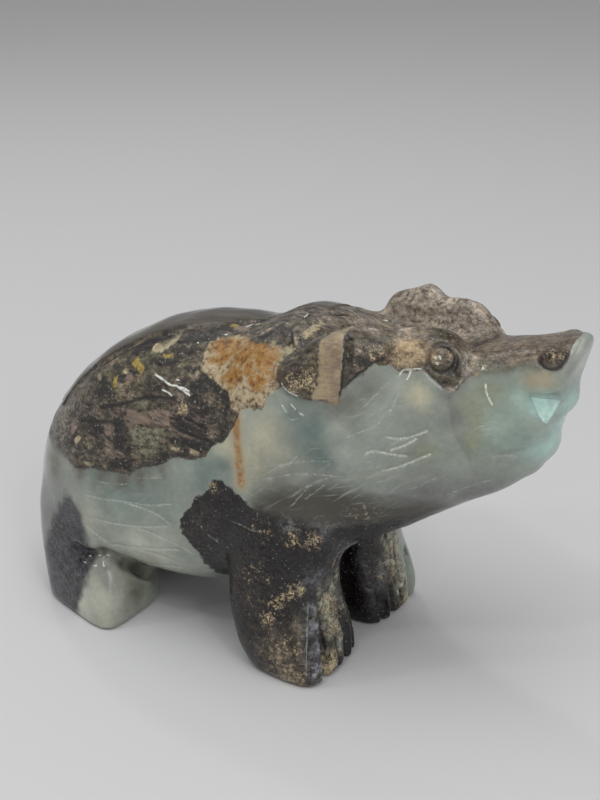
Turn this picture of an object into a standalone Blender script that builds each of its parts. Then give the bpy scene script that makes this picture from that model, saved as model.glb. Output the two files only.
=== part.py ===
"""A standing bear carved from one block of stone.

The nose points along +X, the bear's left is +Y and the soles stand on Z = 0. The origin is under the middle
of the carving. The forms are laid out in millimetres as they are on a carving LENGTH long.
"""
import math

import bmesh
import bpy
import numpy as np
from mathutils import Vector

# Driving dimensions, in metres
LENGTH = 0.1125  # nose to rump
VOXEL = 0.00075  # grain at which the forms are fused
TRIANGLES = 9000  # faces of the finished solid

# Driving dimensions, in millimetres on a carving LENGTH long
TORSO_HALF_WIDTH = 21.0
NECK_HALF_WIDTH = 20.5
MUZZLE_HALF_WIDTH = 8.0
BELLY_HEIGHT = 7.4
PAW_GAP = 6.0  # between the front paws
HIND_GAP = 8.4  # between the hind feet
EAR_STEP = 1.2  # how far the ear's face stands out of the neck
EAR_BEVEL = 0.7
CREASE_DEPTH = 1.3  # of the creases between the flanks and the hind feet
CREASE_WIDTH = 2.0
EYE_RADIUS = 2.3
SOCKET_RADIUS = 3.6
NOSTRIL_RADIUS = 2.5
LIP_HEIGHT = 58.3
TOE_GROOVE_WIDTH = 1.5
TOE_GROOVE_DEPTH = 1.7
TOE_GROOVE_HEIGHT = 10.5
RING_POINTS = 48
SOFTENING_PASSES = 9  # how often the forms are smoothed, as polishing rounds what the saw left

NOMINAL_LENGTH_MM = 112.5
MM = LENGTH / NOMINAL_LENGTH_MM


def clear_scene():
    for item in list(bpy.data.objects):
        bpy.data.objects.remove(item, do_unlink=True)


def signed_power(value, power):
    return math.copysign(abs(value) ** power, value)


def rounded_square(squareness):
    """Points around a superellipse of half-size 1: 2 is a circle, and more is squarer."""
    power = 2.0 / squareness
    angles = [2.0 * math.pi * i / RING_POINTS for i in range(RING_POINTS)]
    return [(signed_power(math.cos(a), power), signed_power(math.sin(a), power)) for a in angles]


def cross_ring(x, top, bottom, half_width, widest, squareness=2.3, lean=0.0, crown=None):
    """A ring across the body: as high as top, as low as bottom and widest at one height.

    Its upper half can be squarer than the rest, by crown, and its top can lean forward.
    """
    points = []
    upper = rounded_square(crown or squareness)
    for (side, up), (upper_side, upper_up) in zip(rounded_square(squareness), upper):
        if up > 0:
            side, z = upper_side, widest + upper_up * (top - widest)
        else:
            z = widest + up * (widest - bottom)
        points.append(Vector((x + lean * (z - widest), side * half_width, z)))
    return points


def level_ring(z, front, back, front_sides, back_sides, squareness=4.0):
    """A level ring whose corners lie at front and back, between the sides given there as (inner, outer)."""
    points = []
    for along, across in rounded_square(squareness):
        share = (along + 1.0) / 2.0
        inner = back_sides[0] + share * (front_sides[0] - back_sides[0])
        outer = back_sides[1] + share * (front_sides[1] - back_sides[1])
        x = back + share * (front - back)
        y = (inner + outer) / 2.0 + across * (outer - inner) / 2.0
        points.append(Vector((x, y, z)))
    return points


def loft(name, rings, mirrored=False):
    """A closed skin over the rings, capped at both ends."""
    flip = -1.0 if mirrored else 1.0
    bm = bmesh.new()
    loops = [[bm.verts.new((p.x, p.y * flip, p.z)) for p in ring] for ring in rings]
    for low, high in zip(loops, loops[1:]):
        for i in range(RING_POINTS):
            j = (i + 1) % RING_POINTS
            bm.faces.new((low[i], low[j], high[j], high[i]))
    bm.faces.new(loops[0])
    bm.faces.new(loops[-1])
    bmesh.ops.recalc_face_normals(bm, faces=bm.faces)
    mesh = bpy.data.meshes.new(name)
    bm.to_mesh(mesh)
    bm.free()
    return mesh


def pebble(name, centre, radii, turn=0.0, tilt=0.0, mirrored=False):
    """An ellipsoid, turned about Z and tilted nose up, in degrees."""
    flip = -1.0 if mirrored else 1.0
    bm = bmesh.new()
    bmesh.ops.create_uvsphere(bm, u_segments=32, v_segments=20, radius=1.0)
    turned, tilted = math.radians(turn), math.radians(tilt)
    for v in bm.verts:
        x, y, z = (v.co[i] * radii[i] for i in range(3))
        x, z = x * math.cos(tilted) - z * math.sin(tilted), x * math.sin(tilted) + z * math.cos(tilted)
        x, y = x * math.cos(turned) - y * math.sin(turned), x * math.sin(turned) + y * math.cos(turned)
        v.co = (centre[0] + x, (centre[1] + y) * flip, centre[2] + z)
    bmesh.ops.recalc_face_normals(bm, faces=bm.faces)
    mesh = bpy.data.meshes.new(name)
    bm.to_mesh(mesh)
    bm.free()
    return mesh


def torso():
    w = TORSO_HALF_WIDTH
    belly = BELLY_HEIGHT
    return loft("torso", [
        cross_ring(-72.2, 24, 14, 0.2 * w, 18, 2.0),
        cross_ring(-71.2, 29.5, 10, 0.34 * w, 19, 2.1),
        cross_ring(-68.4, 36.0, belly, 0.54 * w, 20.5, 2.2),
        cross_ring(-64.4, 41.8, belly, 0.73 * w, 22, 2.3),
        cross_ring(-59.6, 47.0, belly, 0.87 * w, 24, 2.35),
        cross_ring(-53.0, 52.4, belly, 0.96 * w, 26, 2.4),
        cross_ring(-44.0, 57.2, belly, w, 28, 2.45),
        cross_ring(-36.0, 59.5, belly, w, 29, 2.45),
        cross_ring(-28.0, 60.2, belly + 0.6, w, 31, 2.45),
        cross_ring(-20.0, 60.2, belly + 5, 0.98 * w, 34, 2.4),
        cross_ring(-12.0, 60.0, belly + 12, 0.93 * w, 38, 2.4),
        cross_ring(-4.0, 58.0, belly + 17, 0.8 * w, 42, 2.3),
    ])


def neck_and_muzzle():
    w = NECK_HALF_WIDTH
    m = MUZZLE_HALF_WIDTH
    return loft("neck", [
        cross_ring(-30, 57.5, 20, 0.8 * w, 40, 2.2),
        cross_ring(-22, 60.0, 18, 0.95 * w, 42, 2.4),
        cross_ring(-15, 63.8, 18, w, 44, 2.5),
        cross_ring(-8, 63.3, 19.0, w, 48, 2.6, 0, 2.5),
        cross_ring(0, 59.2, 21.4, 0.94 * w, 51, 2.6, 0.02, 2.8),
        cross_ring(8, 60.2, 25.4, 0.81 * w, 52, 2.6, 0.06, 3.0),
        cross_ring(15, 62.0, 29.2, 0.67 * w, 53, 2.6, 0.10, 3.1),
        cross_ring(21, 63.4, 32.8, 1.36 * m, 52.5, 2.7, 0.14, 3.0),
        cross_ring(26, 64.8, 35.6, 1.18 * m, 52.5, 2.9, 0.19, 3.0),
        cross_ring(30.5, 66.2, 37.8, 1.05 * m, 53, 3.0, 0.24),
        cross_ring(33.6, 67.2, 40.2, 0.93 * m, 54, 3.0, 0.29),
        cross_ring(35.4, 67.8, 43.0, 0.79 * m, 56, 2.9, 0.33),
        cross_ring(36.4, 67.4, 47.2, 0.56 * m, 57.5, 2.8, 0.36),
    ])


def front_leg(mirrored):
    inner = PAW_GAP / 2.0
    return loft("front leg", [
        level_ring(-2, 0.7, -13.0, (inner, 22.6), (inner + 1, 19.6), 4.5),
        level_ring(3, 1.2, -16.6, (inner, 23.2), (inner + 1, 22.0), 4.2),
        level_ring(8, 0.2, -18.4, (inner, 23.0), (inner + 1, 22.6), 3.8),
        level_ring(13, -1.6, -19.6, (inner + 0.4, 22.2), (inner + 1.4, 22.4), 3.4),
        level_ring(19, -1.5, -20.2, (inner + 1, 21.4), (inner + 2, 21.8), 3.0),
        level_ring(26, 1.0, -20.6, (inner + 1, 20.8), (inner + 2, 20.8), 2.6),
        level_ring(35, 2.0, -19.5, (inner + 1, 19.5), (inner + 2, 19.8), 2.4),
        level_ring(44, 0.0, -17.0, (inner + 2, 17.5), (inner + 2, 18.0), 2.4),
    ], mirrored)


def hind_leg(mirrored):
    inner = HIND_GAP / 2.0
    return loft("hind leg", [
        level_ring(-2, -42.8, -64.6, (inner, 25.6), (inner + 0.6, 17.2), 5.0),
        level_ring(3, -42.9, -65.6, (inner, 25.2), (inner + 0.4, 17.2), 4.6),
        level_ring(8, -43.6, -66.8, (inner, 23.8), (inner, 16.8), 4.0),
        level_ring(13, -44.6, -68.0, (inner, 22.0), (inner, 16.4), 3.4),
        level_ring(20, -45.0, -68.6, (inner - 1, 21.0), (inner - 1, 15.8), 3.0),
        level_ring(30, -46.0, -66.0, (inner - 2, 20.0), (inner - 2, 15.0), 2.6),
    ], mirrored)


def side_ring(x, across, height, half_width, half_height, squareness=2.6):
    """A small upright ring to one side of the middle."""
    outline = rounded_square(squareness)
    return [Vector((x, across + side * half_width, height + up * half_height)) for side, up in outline]


def head_ridge(mirrored):
    """The ridge along the edge of the head, which swells into the ear and then into the brow."""
    return loft("head ridge", [
        side_ring(-5.0, 15.2, 57.0, 2.2, 5.2),
        side_ring(-3.6, 15.0, 57.5, 3.0, 7.2),
        side_ring(0.6, 14.5, 58.0, 3.4, 7.6),
        side_ring(3.4, 13.8, 58.4, 3.5, 9.1),
        side_ring(6.2, 12.7, 58.0, 3.5, 8.6),
        side_ring(8.8, 11.5, 57.8, 3.5, 8.3),
        side_ring(11.0, 10.4, 58.0, 3.7, 8.8),
        side_ring(14.5, 8.8, 58.6, 3.8, 8.9),
        side_ring(17.8, 7.1, 58.6, 3.6, 8.4),
        side_ring(20.0, 6.2, 57.6, 3.2, 7.2),
        side_ring(21.4, 5.7, 56.6, 2.4, 5.2),
    ], mirrored)


def head_forms(mirrored):
    """One side's ridge, ear and nostril."""
    nose = (NOSTRIL_RADIUS, 1.9, NOSTRIL_RADIUS)
    return [
        head_ridge(mirrored),
        pebble("ear", (0.6, 15.4, 59.8), (6.0, 3.6, 5.6), turn=-16, mirrored=mirrored),
        pebble("ear lobe", (-3.0, 17.0, 56.4), (5.6, 3.0, 4.8), turn=-8, mirrored=mirrored),
        pebble("nostril", (34.8, 4.7, 64.2), nose, turn=-22, mirrored=mirrored),
    ]


def middle_forms():
    """The lips that bulge under the nose, and the chin and jaw below them."""
    return [
        pebble("upper lip", (34.8, 0, 56.2), (3.5, 4.4, 3.4)),
        pebble("lower lip", (33.4, 0, 51.8), (2.4, 4.4, 2.8)),
        pebble("chin", (32.0, 0, 47.4), (3.6, 5.2, 3.4), tilt=-35),
        pebble("jaw", (28.8, 0, 44.4), (4.4, 5.4, 3.3), tilt=-30),
    ]


def join(meshes, name):
    """One mesh holding all the given ones."""
    bm = bmesh.new()
    for mesh in meshes:
        bm.from_mesh(mesh)
        bpy.data.meshes.remove(mesh)
    joined = bpy.data.meshes.new(name)
    bm.to_mesh(joined)
    bm.free()
    return joined


def add_object(name, mesh):
    item = bpy.data.objects.new(name, mesh)
    bpy.context.scene.collection.objects.link(item)
    return item


def bake(item):
    """Replaces the object's mesh by the one its modifiers make."""
    graph = bpy.context.evaluated_depsgraph_get()
    made = bpy.data.meshes.new_from_object(item.evaluated_get(graph))
    item.modifiers.clear()
    old = item.data
    item.data = made
    bpy.data.meshes.remove(old)


def fuse(item):
    """Makes one skin of the overlapping forms."""
    remesh = item.modifiers.new("fuse", "REMESH")
    remesh.mode = "VOXEL"
    remesh.voxel_size = VOXEL / MM
    bake(item)


def soften(item, passes):
    """Rounds every edge and seam, as polishing does, by moving each vertex to the mean of its neighbours."""
    mesh = item.data
    count = len(mesh.vertices)
    points = np.empty(count * 3)
    mesh.vertices.foreach_get("co", points)
    points = points.reshape(-1, 3)
    edges = np.empty(len(mesh.edges) * 2, dtype=int)
    mesh.edges.foreach_get("vertices", edges)
    a, b = edges.reshape(-1, 2).T
    degree = np.bincount(np.r_[a, b], minlength=count)[:, None]
    for _ in range(passes):
        total = np.zeros_like(points)
        np.add.at(total, a, points[b])
        np.add.at(total, b, points[a])
        points = 0.5 * points + 0.5 * total / degree
    mesh.vertices.foreach_set("co", points.ravel())
    mesh.update()


def hull(name, corners, mirrored=False):
    """The convex solid around the given corners."""
    flip = -1.0 if mirrored else 1.0
    bm = bmesh.new()
    for x, y, z in corners:
        bm.verts.new((x, y * flip, z))
    made = bmesh.ops.convex_hull(bm, input=bm.verts)
    bmesh.ops.delete(bm, geom=made["geom_interior"] + made["geom_unused"], context="VERTS")
    bmesh.ops.recalc_face_normals(bm, faces=bm.faces)
    mesh = bpy.data.meshes.new(name)
    bm.to_mesh(mesh)
    bm.free()
    return mesh


def mouth_notch(mirrored):
    """The cut under the upper lip: a level roof and one slanting facet, at a corner of the muzzle."""
    facet = [(30.8, 7.5, LIP_HEIGHT), (38.4, 2.2, LIP_HEIGHT), (34.2, 7.2, 51.0), (36.6, 5.5, 51.0)]
    outward = (5.7, 8.2)
    moved = [(x + outward[0], y + outward[1], z) for x, y, z in facet]
    return hull("mouth notch", facet + moved, mirrored)


def eye_socket(mirrored):
    radii = (SOCKET_RADIUS, 2.2, SOCKET_RADIUS)
    return pebble("socket", (19.1, 10.9, 62.0), radii, turn=-25, mirrored=mirrored)


def eyeball(mirrored):
    radii = (EYE_RADIUS, 1.5, EYE_RADIUS)
    return pebble("eye", (18.4, 9.0, 62.0), radii, turn=-25, mirrored=mirrored)


def inside_depth(points, outline):
    """How far each point of a plane lies inside a closed outline, and less than 0 where it is outside."""
    nearest = np.full(len(points), np.inf)
    inside = np.zeros(len(points), dtype=bool)
    for start, end in zip(outline, outline[1:] + outline[:1]):
        start, along = np.array(start), np.subtract(end, start)
        offset = points - start
        share = np.clip(offset @ along / (along @ along), 0.0, 1.0)
        nearest = np.minimum(nearest, np.linalg.norm(offset - share[:, None] * along, axis=1))
        crosses = (points[:, 1] < start[1]) != (points[:, 1] < start[1] + along[1])
        level = along[1] if along[1] else 1.0
        inside ^= crosses & (points[:, 0] < start[0] + along[0] * (points[:, 1] - start[1]) / level)
    return np.where(inside, nearest, -nearest)


def raise_ears(item):
    """Leaves the ears' faces proud of the neck, with a step along an edge that is notched at the back."""
    outline = [
        (-8.8, 63.5), (-8.6, 62.2), (-7.2, 61.0), (-5.0, 60.8), (-7.4, 60.0), (-9.3, 59.1), (-9.8, 58.0),
        (-8.4, 56.8), (-8.0, 54.8), (-6.0, 53.4), (-3.0, 53.6), (2.6, 54.0), (4.2, 56.6), (6.5, 59.4),
        (14.0, 66.0), (14.0, 70.0), (-7.0, 70.0),
    ]
    brow, fade, inner_edge = 9.0, 5.0, 9.0
    mesh = item.data
    points = np.array([v.co for v in mesh.vertices])
    normals = np.array([v.normal for v in mesh.vertices])
    depth = inside_depth(points[:, [0, 2]], outline)
    sideways = np.clip((normals[:, 1] * np.sign(points[:, 1]) - 0.35) / 0.4, 0.0, 1.0)
    on_ear = np.clip((brow - points[:, 0]) / fade, 0.0, 1.0) * (abs(points[:, 1]) > inner_edge)
    lift = EAR_STEP * np.clip(depth / EAR_BEVEL, 0.0, 1.0) * sideways * on_ear
    mesh.vertices.foreach_set("co", (points + normals * lift[:, None]).ravel())
    mesh.update()


def line_distance(points, line):
    """How far each point is from a chain of straight pieces."""
    nearest = np.full(len(points), np.inf)
    for start, end in zip(line, line[1:]):
        start, along = np.array(start), np.subtract(end, start)
        offset = points - start
        share = np.clip(offset @ along / (along @ along), 0.0, 1.0)
        nearest = np.minimum(nearest, np.linalg.norm(offset - share[:, None] * along, axis=1))
    return nearest


def press_creases(item):
    """Deepens the creases where the flanks overhang the hind feet."""
    line = [(-51.4, 20.1, 12.6), (-46.8, 19.7, 13.8), (-43.7, 16.8, 11.8), (-42.9, 10.0, 6.4)]
    mesh = item.data
    points = np.array([v.co for v in mesh.vertices])
    normals = np.array([v.normal for v in mesh.vertices])
    folded = points * (1.0, -1.0, 1.0)
    nearest = np.minimum(line_distance(points, line), line_distance(folded, line))
    depth = CREASE_DEPTH * np.clip(1.0 - nearest / CREASE_WIDTH, 0.0, 1.0)
    mesh.vertices.foreach_set("co", (points - normals * depth[:, None]).ravel())
    mesh.update()


def toe_groove(y, lean, mirrored):
    """An upright groove between two toes, from the sole to the top of the paw."""
    w = TOE_GROOVE_WIDTH
    front, bottom, top = 3.0, -3.0, TOE_GROOVE_HEIGHT
    bottom_depth, top_depth = 0.8 - TOE_GROOVE_DEPTH, -2.6 - TOE_GROOVE_DEPTH * 0.4
    corners = [
        (front, y - w, bottom), (front, y + w, bottom), (bottom_depth, y, bottom),
        (front, y - w + lean, top), (front, y + w + lean, top), (top_depth, y + lean, top),
    ]
    return hull("toe groove", corners, mirrored)


def toe_grooves(mirrored):
    return [toe_groove(y, lean, mirrored) for y, lean in ((17.1, 0.6), (9.8, -0.2), (6.5, -0.6))]


def boolean(item, meshes, operation):
    """Cuts or adds the meshes, one by one, exactly."""
    for mesh in meshes:
        cutter = add_object(mesh.name, mesh)
        cutter.hide_render = True
        cutter.display_type = "WIRE"
        step = item.modifiers.new(mesh.name, "BOOLEAN")
        step.operation = operation
        step.object = cutter
        bake(item)
        bpy.data.objects.remove(cutter, do_unlink=True)


def flatten_soles(item):
    """Cuts the feet off level at Z = 0 and closes the cut, which leaves flat soles."""
    bm = bmesh.new()
    bm.from_mesh(item.data)
    geometry = bm.verts[:] + bm.edges[:] + bm.faces[:]
    cut = bmesh.ops.bisect_plane(bm, geom=geometry, plane_co=(0, 0, 0), plane_no=(0, 0, -1), clear_outer=True)
    rim = [e for e in cut["geom_cut"] if isinstance(e, bmesh.types.BMEdge)]
    bmesh.ops.holes_fill(bm, edges=rim, sides=0)
    bmesh.ops.triangulate(bm, faces=bm.faces[:])
    bmesh.ops.recalc_face_normals(bm, faces=bm.faces)
    bm.to_mesh(item.data)
    bm.free()


def thin_out(item):
    """Brings the solid down to TRIANGLES, flat places first."""
    share = min(1.0, TRIANGLES / sum(len(p.vertices) - 2 for p in item.data.polygons))
    step = item.modifiers.new("thin out", "DECIMATE")
    step.ratio = share
    bake(item)


def place(item):
    """Puts the middle of the carving over the origin and brings it to its real size."""
    mesh = item.data
    xs = [v.co.x for v in mesh.vertices]
    ys = [v.co.y for v in mesh.vertices]
    middle = Vector(((min(xs) + max(xs)) / 2.0, (min(ys) + max(ys)) / 2.0, 0.0))
    for v in mesh.vertices:
        v.co = (v.co - middle) * MM
    mesh.update()


def stone():
    material = bpy.data.materials.new("polished stone")
    material.use_nodes = True
    shader = material.node_tree.nodes["Principled BSDF"]
    shader.inputs["Base Color"].default_value = (0.23, 0.27, 0.23, 1.0)
    shader.inputs["Roughness"].default_value = 0.22
    shader.inputs["Metallic"].default_value = 0.0
    material.diffuse_color = (0.23, 0.27, 0.23, 1.0)
    return material


def build_bear():
    sides = (True, False)
    forms = [torso(), neck_and_muzzle()] + middle_forms()
    for mirrored in sides:
        forms += [front_leg(mirrored), hind_leg(mirrored)]
        forms += head_forms(mirrored)
    bear = add_object("bear", join(forms, "bear"))
    fuse(bear)
    soften(bear, SOFTENING_PASSES)
    raise_ears(bear)
    press_creases(bear)
    for mirrored in sides:
        cuts = [eye_socket(mirrored), mouth_notch(mirrored)] + toe_grooves(mirrored)
        boolean(bear, cuts, "DIFFERENCE")
        boolean(bear, [eyeball(mirrored)], "UNION")
    flatten_soles(bear)
    thin_out(bear)
    place(bear)
    bear.data.materials.clear()
    bear.data.materials.append(stone())
    bear.data.shade_smooth()
    bear.data.set_sharp_from_angle(angle=math.radians(40))
    return bear


clear_scene()
build_bear()
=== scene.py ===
"""The looks of a standing bear carved from one block of mottled stone.

Places are in millimetres in the part's frame: the nose points along +X, the bear's left is +Y and the
soles stand on Z = 0. The photographed side is the bear's right, where y is below 0. What is given for that
side is carved and painted on the other one too, where it is left plainer.
"""
import math
import random

import bpy
import numpy as np
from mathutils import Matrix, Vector, noise
from mathutils.bvhtree import BVHTree
from mathutils.kdtree import KDTree


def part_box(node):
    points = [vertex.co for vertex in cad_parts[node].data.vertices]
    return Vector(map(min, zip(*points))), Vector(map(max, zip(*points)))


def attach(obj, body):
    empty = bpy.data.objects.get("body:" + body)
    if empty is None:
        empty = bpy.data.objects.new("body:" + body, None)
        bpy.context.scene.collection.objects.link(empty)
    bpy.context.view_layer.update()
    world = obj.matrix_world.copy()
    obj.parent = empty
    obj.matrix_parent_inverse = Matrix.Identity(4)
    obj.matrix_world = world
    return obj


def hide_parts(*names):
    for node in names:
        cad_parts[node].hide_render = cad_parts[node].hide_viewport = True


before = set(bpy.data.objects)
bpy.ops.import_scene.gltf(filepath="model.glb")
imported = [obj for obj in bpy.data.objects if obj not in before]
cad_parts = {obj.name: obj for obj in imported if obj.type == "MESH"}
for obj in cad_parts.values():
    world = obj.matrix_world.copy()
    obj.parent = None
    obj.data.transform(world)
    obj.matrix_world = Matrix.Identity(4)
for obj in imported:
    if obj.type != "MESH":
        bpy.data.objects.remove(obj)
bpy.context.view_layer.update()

MM = 1000.0  # millimetres in a metre
GRAIN = 0.31  # spacing of the points of the fine skin
POLISH_PASSES = 44
EDGE_BEND = 0.03  # what bends by more than this is polished less
FACES = 194000  # triangles of the finished piece
NEAR, FAR = -1.0, 1.0  # the photographed side and the hidden one, as the sign of y
AS_GIVEN = 1.0  # leaves the y of a line as it is
DEEPEST = 6.0  # depths inside and outside large areas of stone are cut off here
OUTSIDE = -4.0  # the depth given to what lies outside a small piece
ABSENT = -5.0  # the depth given on the hidden side to what lies on the photographed one alone
SEED = 11


# The skin that is carved and painted

class Skin:
    """The bear's surface as arrays of points, outward normals and quads, with named values at the points."""

    def __init__(self, mesh):
        self.mesh = mesh
        points = np.empty(len(mesh.vertices) * 3)
        mesh.vertices.foreach_get("co", points)
        self.points = points.reshape(-1, 3) * MM
        corners = np.empty(len(mesh.loops), dtype=int)
        mesh.loops.foreach_get("vertex_index", corners)
        self.quads = corners.reshape(-1, 4)
        self.fields = {}
        self.tones = {}
        self.settle()

    def settle(self):
        """Works the normals and the search trees out again after the points have moved."""
        p = self.points[self.quads]
        across = np.cross(p[:, 2] - p[:, 0], p[:, 3] - p[:, 1])
        total = np.empty_like(self.points)
        for axis in range(3):
            shares = np.repeat(across[:, axis], 4)
            total[:, axis] = np.bincount(self.quads.ravel(), weights=shares, minlength=len(total))
        self.normals = total / np.maximum(np.linalg.norm(total, axis=1, keepdims=True), 1e-12)
        self.tree = BVHTree.FromPolygons(self.points.tolist(), self.quads.tolist())
        self.near = KDTree(len(self.points))
        for i, point in enumerate(self.points):
            self.near.insert(point, i)
        self.near.balance()

    def drop(self, point):
        """The nearest place of the skin to a point."""
        return np.array(self.tree.find_nearest(Vector(point))[0])

    def on_side(self, x, z, side):
        """The place on one side of the bear that has the given x and z."""
        hit = self.tree.ray_cast(Vector((x, side * 60.0, z)), Vector((0.0, -side, 0.0)))[0]
        return np.array(hit if hit is not None else (x, side * 10.0, z))

    def around(self, centre, radius):
        """The indices of the points within a radius of a place."""
        return np.array([i for _, i, _ in self.near.find_range(Vector(centre), radius)], dtype=int)

    def disc(self, centre, radius, reach=1.0):
        """The points within so many radii of a place, and how many radii away each one is."""
        indices = self.around(centre, reach * radius)
        return indices, np.linalg.norm(self.points[indices] - centre, axis=1) / radius

    def push(self, indices, distance):
        """Moves points along their normals: inward where the distance is below 0."""
        self.points[indices] += self.normals[indices] * np.asarray(distance)[:, None]

    def write(self):
        self.mesh.vertices.foreach_set("co", (self.points / MM).ravel())
        for name, values in self.fields.items():
            layer = self.mesh.attributes.new(name, "FLOAT", "POINT")
            layer.data.foreach_set("value", values.astype(np.float32))
        for name, colours in self.tones.items():
            layer = self.mesh.color_attributes.new(name, "FLOAT_COLOR", "POINT")
            opaque = np.c_[colours, np.ones(len(colours))]
            layer.data.foreach_set("color", opaque.astype(np.float32).ravel())
        self.mesh.update()


def fine_mesh(node):
    """The solid's shape on an even grid of points, close enough together for the fine carving."""
    item = bpy.data.objects.new("fine skin", node.data.copy())
    bpy.context.scene.collection.objects.link(item)
    step = item.modifiers.new("grain", "REMESH")
    step.mode = "VOXEL"
    step.voxel_size = GRAIN / MM
    graph = bpy.context.evaluated_depsgraph_get()
    mesh = bpy.data.meshes.new_from_object(item.evaluated_get(graph))
    bpy.data.objects.remove(item, do_unlink=True)
    return mesh


def ramp(value, low, high):
    """0 below low, 1 above high and smooth between."""
    t = np.clip((value - low) / (high - low), 0.0, 1.0)
    return t * t * (3.0 - 2.0 * t)


def hills(points, scale, octaves=2, shift=0.0):
    """Smooth noise about 0 at each point, its hills about scale millimetres apart."""
    return np.array([noise.fractal(Vector(p), 1.0, 2.0, octaves) for p in points / scale + shift])


def polish(skin):
    """Melts the solid's flat triangles into round forms, and leaves its sharper edges."""
    count = len(skin.points)
    edges = np.empty(len(skin.mesh.edges) * 2, dtype=int)
    skin.mesh.edges.foreach_get("vertices", edges)
    a, b = edges.reshape(-1, 2).T
    degree = np.bincount(np.r_[a, b], minlength=count)

    def mean_around(values):
        return (np.bincount(a, values[b], count) + np.bincount(b, values[a], count)) / degree

    for turn in range(POLISH_PASSES):
        moved = np.stack([mean_around(skin.points[:, axis]) for axis in range(3)], axis=1) - skin.points
        if turn % 8 == 0:
            bend = np.linalg.norm(moved, axis=1)
            for _ in range(4):
                bend = mean_around(bend)
            ease = 1.0 / (1.0 + (bend / EDGE_BEND) ** 2)
        skin.points += 0.6 * ease[:, None] * moved
    skin.settle()


# Carving tools

def curve(points, spacing=0.2):
    """Evenly close points on a smooth curve through the given ones."""
    pts = [np.array(p, dtype=float) for p in points]
    pts = [2 * pts[0] - pts[1]] + pts + [2 * pts[-1] - pts[-2]]
    made = []
    for a, b, c, d in zip(pts, pts[1:], pts[2:], pts[3:]):
        steps = max(2, int(np.linalg.norm(c - b) / spacing))
        for i in range(steps):
            t = i / steps
            bend = (2 * a - 5 * b + 4 * c - d) * t * t + (3 * b - a - 3 * c + d) * t ** 3
            made.append(b + 0.5 * ((c - a) * t + bend))
    made.append(pts[-2])
    return np.array(made)


def sided(line, side):
    """A line given with y above 0, on the side asked for."""
    return [(x, y * side, z) for x, y, z in line]


def along(skin, side, line, reach):
    """The points near a line on the skin: indices, distances, shares of its length and sides of it."""
    path = np.array([skin.drop(p) for p in curve(sided(line, side))])
    indices = np.unique(np.concatenate([skin.around(p, reach + 0.3) for p in path]))
    points, normals = skin.points[indices], skin.normals[indices]
    best = np.full(len(points), np.inf)
    share, left = np.zeros(len(points)), np.zeros(len(points))
    for i, (start, end) in enumerate(zip(path, path[1:])):
        run, offset = end - start, points - start
        t = np.clip(offset @ run / max(run @ run, 1e-9), 0.0, 1.0)
        away = np.linalg.norm(offset - t[:, None] * run, axis=1)
        closer = away < best
        best[closer] = away[closer]
        share[closer] = (i + t[closer]) / (len(path) - 1)
        left[closer] = np.sign((np.cross(run, offset) * normals).sum(axis=1))[closer]
    return indices, best, share, left


def run_out(share, taper):
    """1 along a stroke, and less where its ends run out."""
    return ramp(share, 0.0, taper) * ramp(1.0 - share, 0.0, taper)


def add_amount(skin, name, indices, amount):
    """Adds an amount of a named value at some points, without summing it where strokes cross."""
    values = skin.fields[name]
    values[indices] = np.maximum(values[indices], amount)


def groove(skin, side, line, width, depth, chalk_and_glint=0.0, painted_shade=0.0, taper=0.15):
    """Cuts a soft groove, paled by stone dust up to the white of a painted highlight and darkened by painted
    shade, by the two amounts given.
    """
    indices, away, share, _ = along(skin, side, line, width)
    profile = run_out(share, taper) * np.exp(-(away / (0.38 * width)) ** 2)
    skin.push(indices, -depth * profile)
    add_amount(skin, "chalk_and_glint", indices, chalk_and_glint * profile)
    add_amount(skin, "painted_shade", indices, painted_shade * profile)


def ridge(skin, side, line, width, height, chalk_and_glint=0.0, gloss=0.0, taper=0.15):
    """Leaves a rounded ridge along a line, paler or glossier than the stone beside it."""
    indices, away, share, _ = along(skin, side, line, width)
    profile = run_out(share, taper) * ramp(0.5 * width - away, 0.0, 0.5 * width)
    skin.push(indices, height * profile)
    add_amount(skin, "chalk_and_glint", indices, chalk_and_glint * profile)
    add_amount(skin, "gloss", indices, gloss * np.minimum(1.0, 2.0 * profile))


def glint_ridge(skin, side, line, width, height, taper=0.15):
    """A glossy ridge painted white as a highlight."""
    ridge(skin, side, line, width, height, 1.0, 1.0, taper)


def glints(skin, side, y, places, lean, width, height):
    """Short glossy ridges painted white as highlights, slanting forward and down, at places given as x and z.
    """
    for x, z in places:
        glint_ridge(skin, side, [(x, y, z), (x + lean, y, z - 0.7)], width, height)


def ledge(skin, side, line, depth, reach, lower=1):
    """Steps the skin down on one side of a line, crisply at the line and less and less over the reach."""
    indices, away, share, left = along(skin, side, line, reach)
    shown = run_out(share, 0.08) * (left * side * lower > 0.0)
    skin.push(indices, -depth * shown * ramp(1.0 - away / reach, 0.0, 1.0))
    # painted shade on the lowered side, close to the step
    add_amount(skin, "painted_shade", indices, shown * ramp(0.7 - away, 0.0, 0.5))


def dent(skin, centre, radius, depth):
    """Presses a round hollow in, or raises a bump where depth is below 0."""
    indices, away = skin.disc(skin.drop(centre), radius)
    skin.push(indices, -depth * ramp(1.0 - away, 0.0, 1.0))


def inside_depth(points, outline):
    """How far each point of a plane lies inside a closed outline, and less than 0 where it is outside."""
    nearest = np.full(len(points), np.inf)
    inside = np.zeros(len(points), dtype=bool)
    for start, end in zip(outline, outline[1:] + outline[:1]):
        start, run = np.array(start, dtype=float), np.subtract(end, start)
        offset = points - start
        share = np.clip(offset @ run / (run @ run), 0.0, 1.0)
        nearest = np.minimum(nearest, np.linalg.norm(offset - share[:, None] * run, axis=1))
        crosses = (points[:, 1] < start[1]) != (points[:, 1] < start[1] + run[1])
        level = run[1] if run[1] else 1.0
        inside ^= crosses & (points[:, 0] < start[0] + run[0] * (points[:, 1] - start[1]) / level)
    return np.where(inside, nearest, -nearest)


# What is carved

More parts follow.
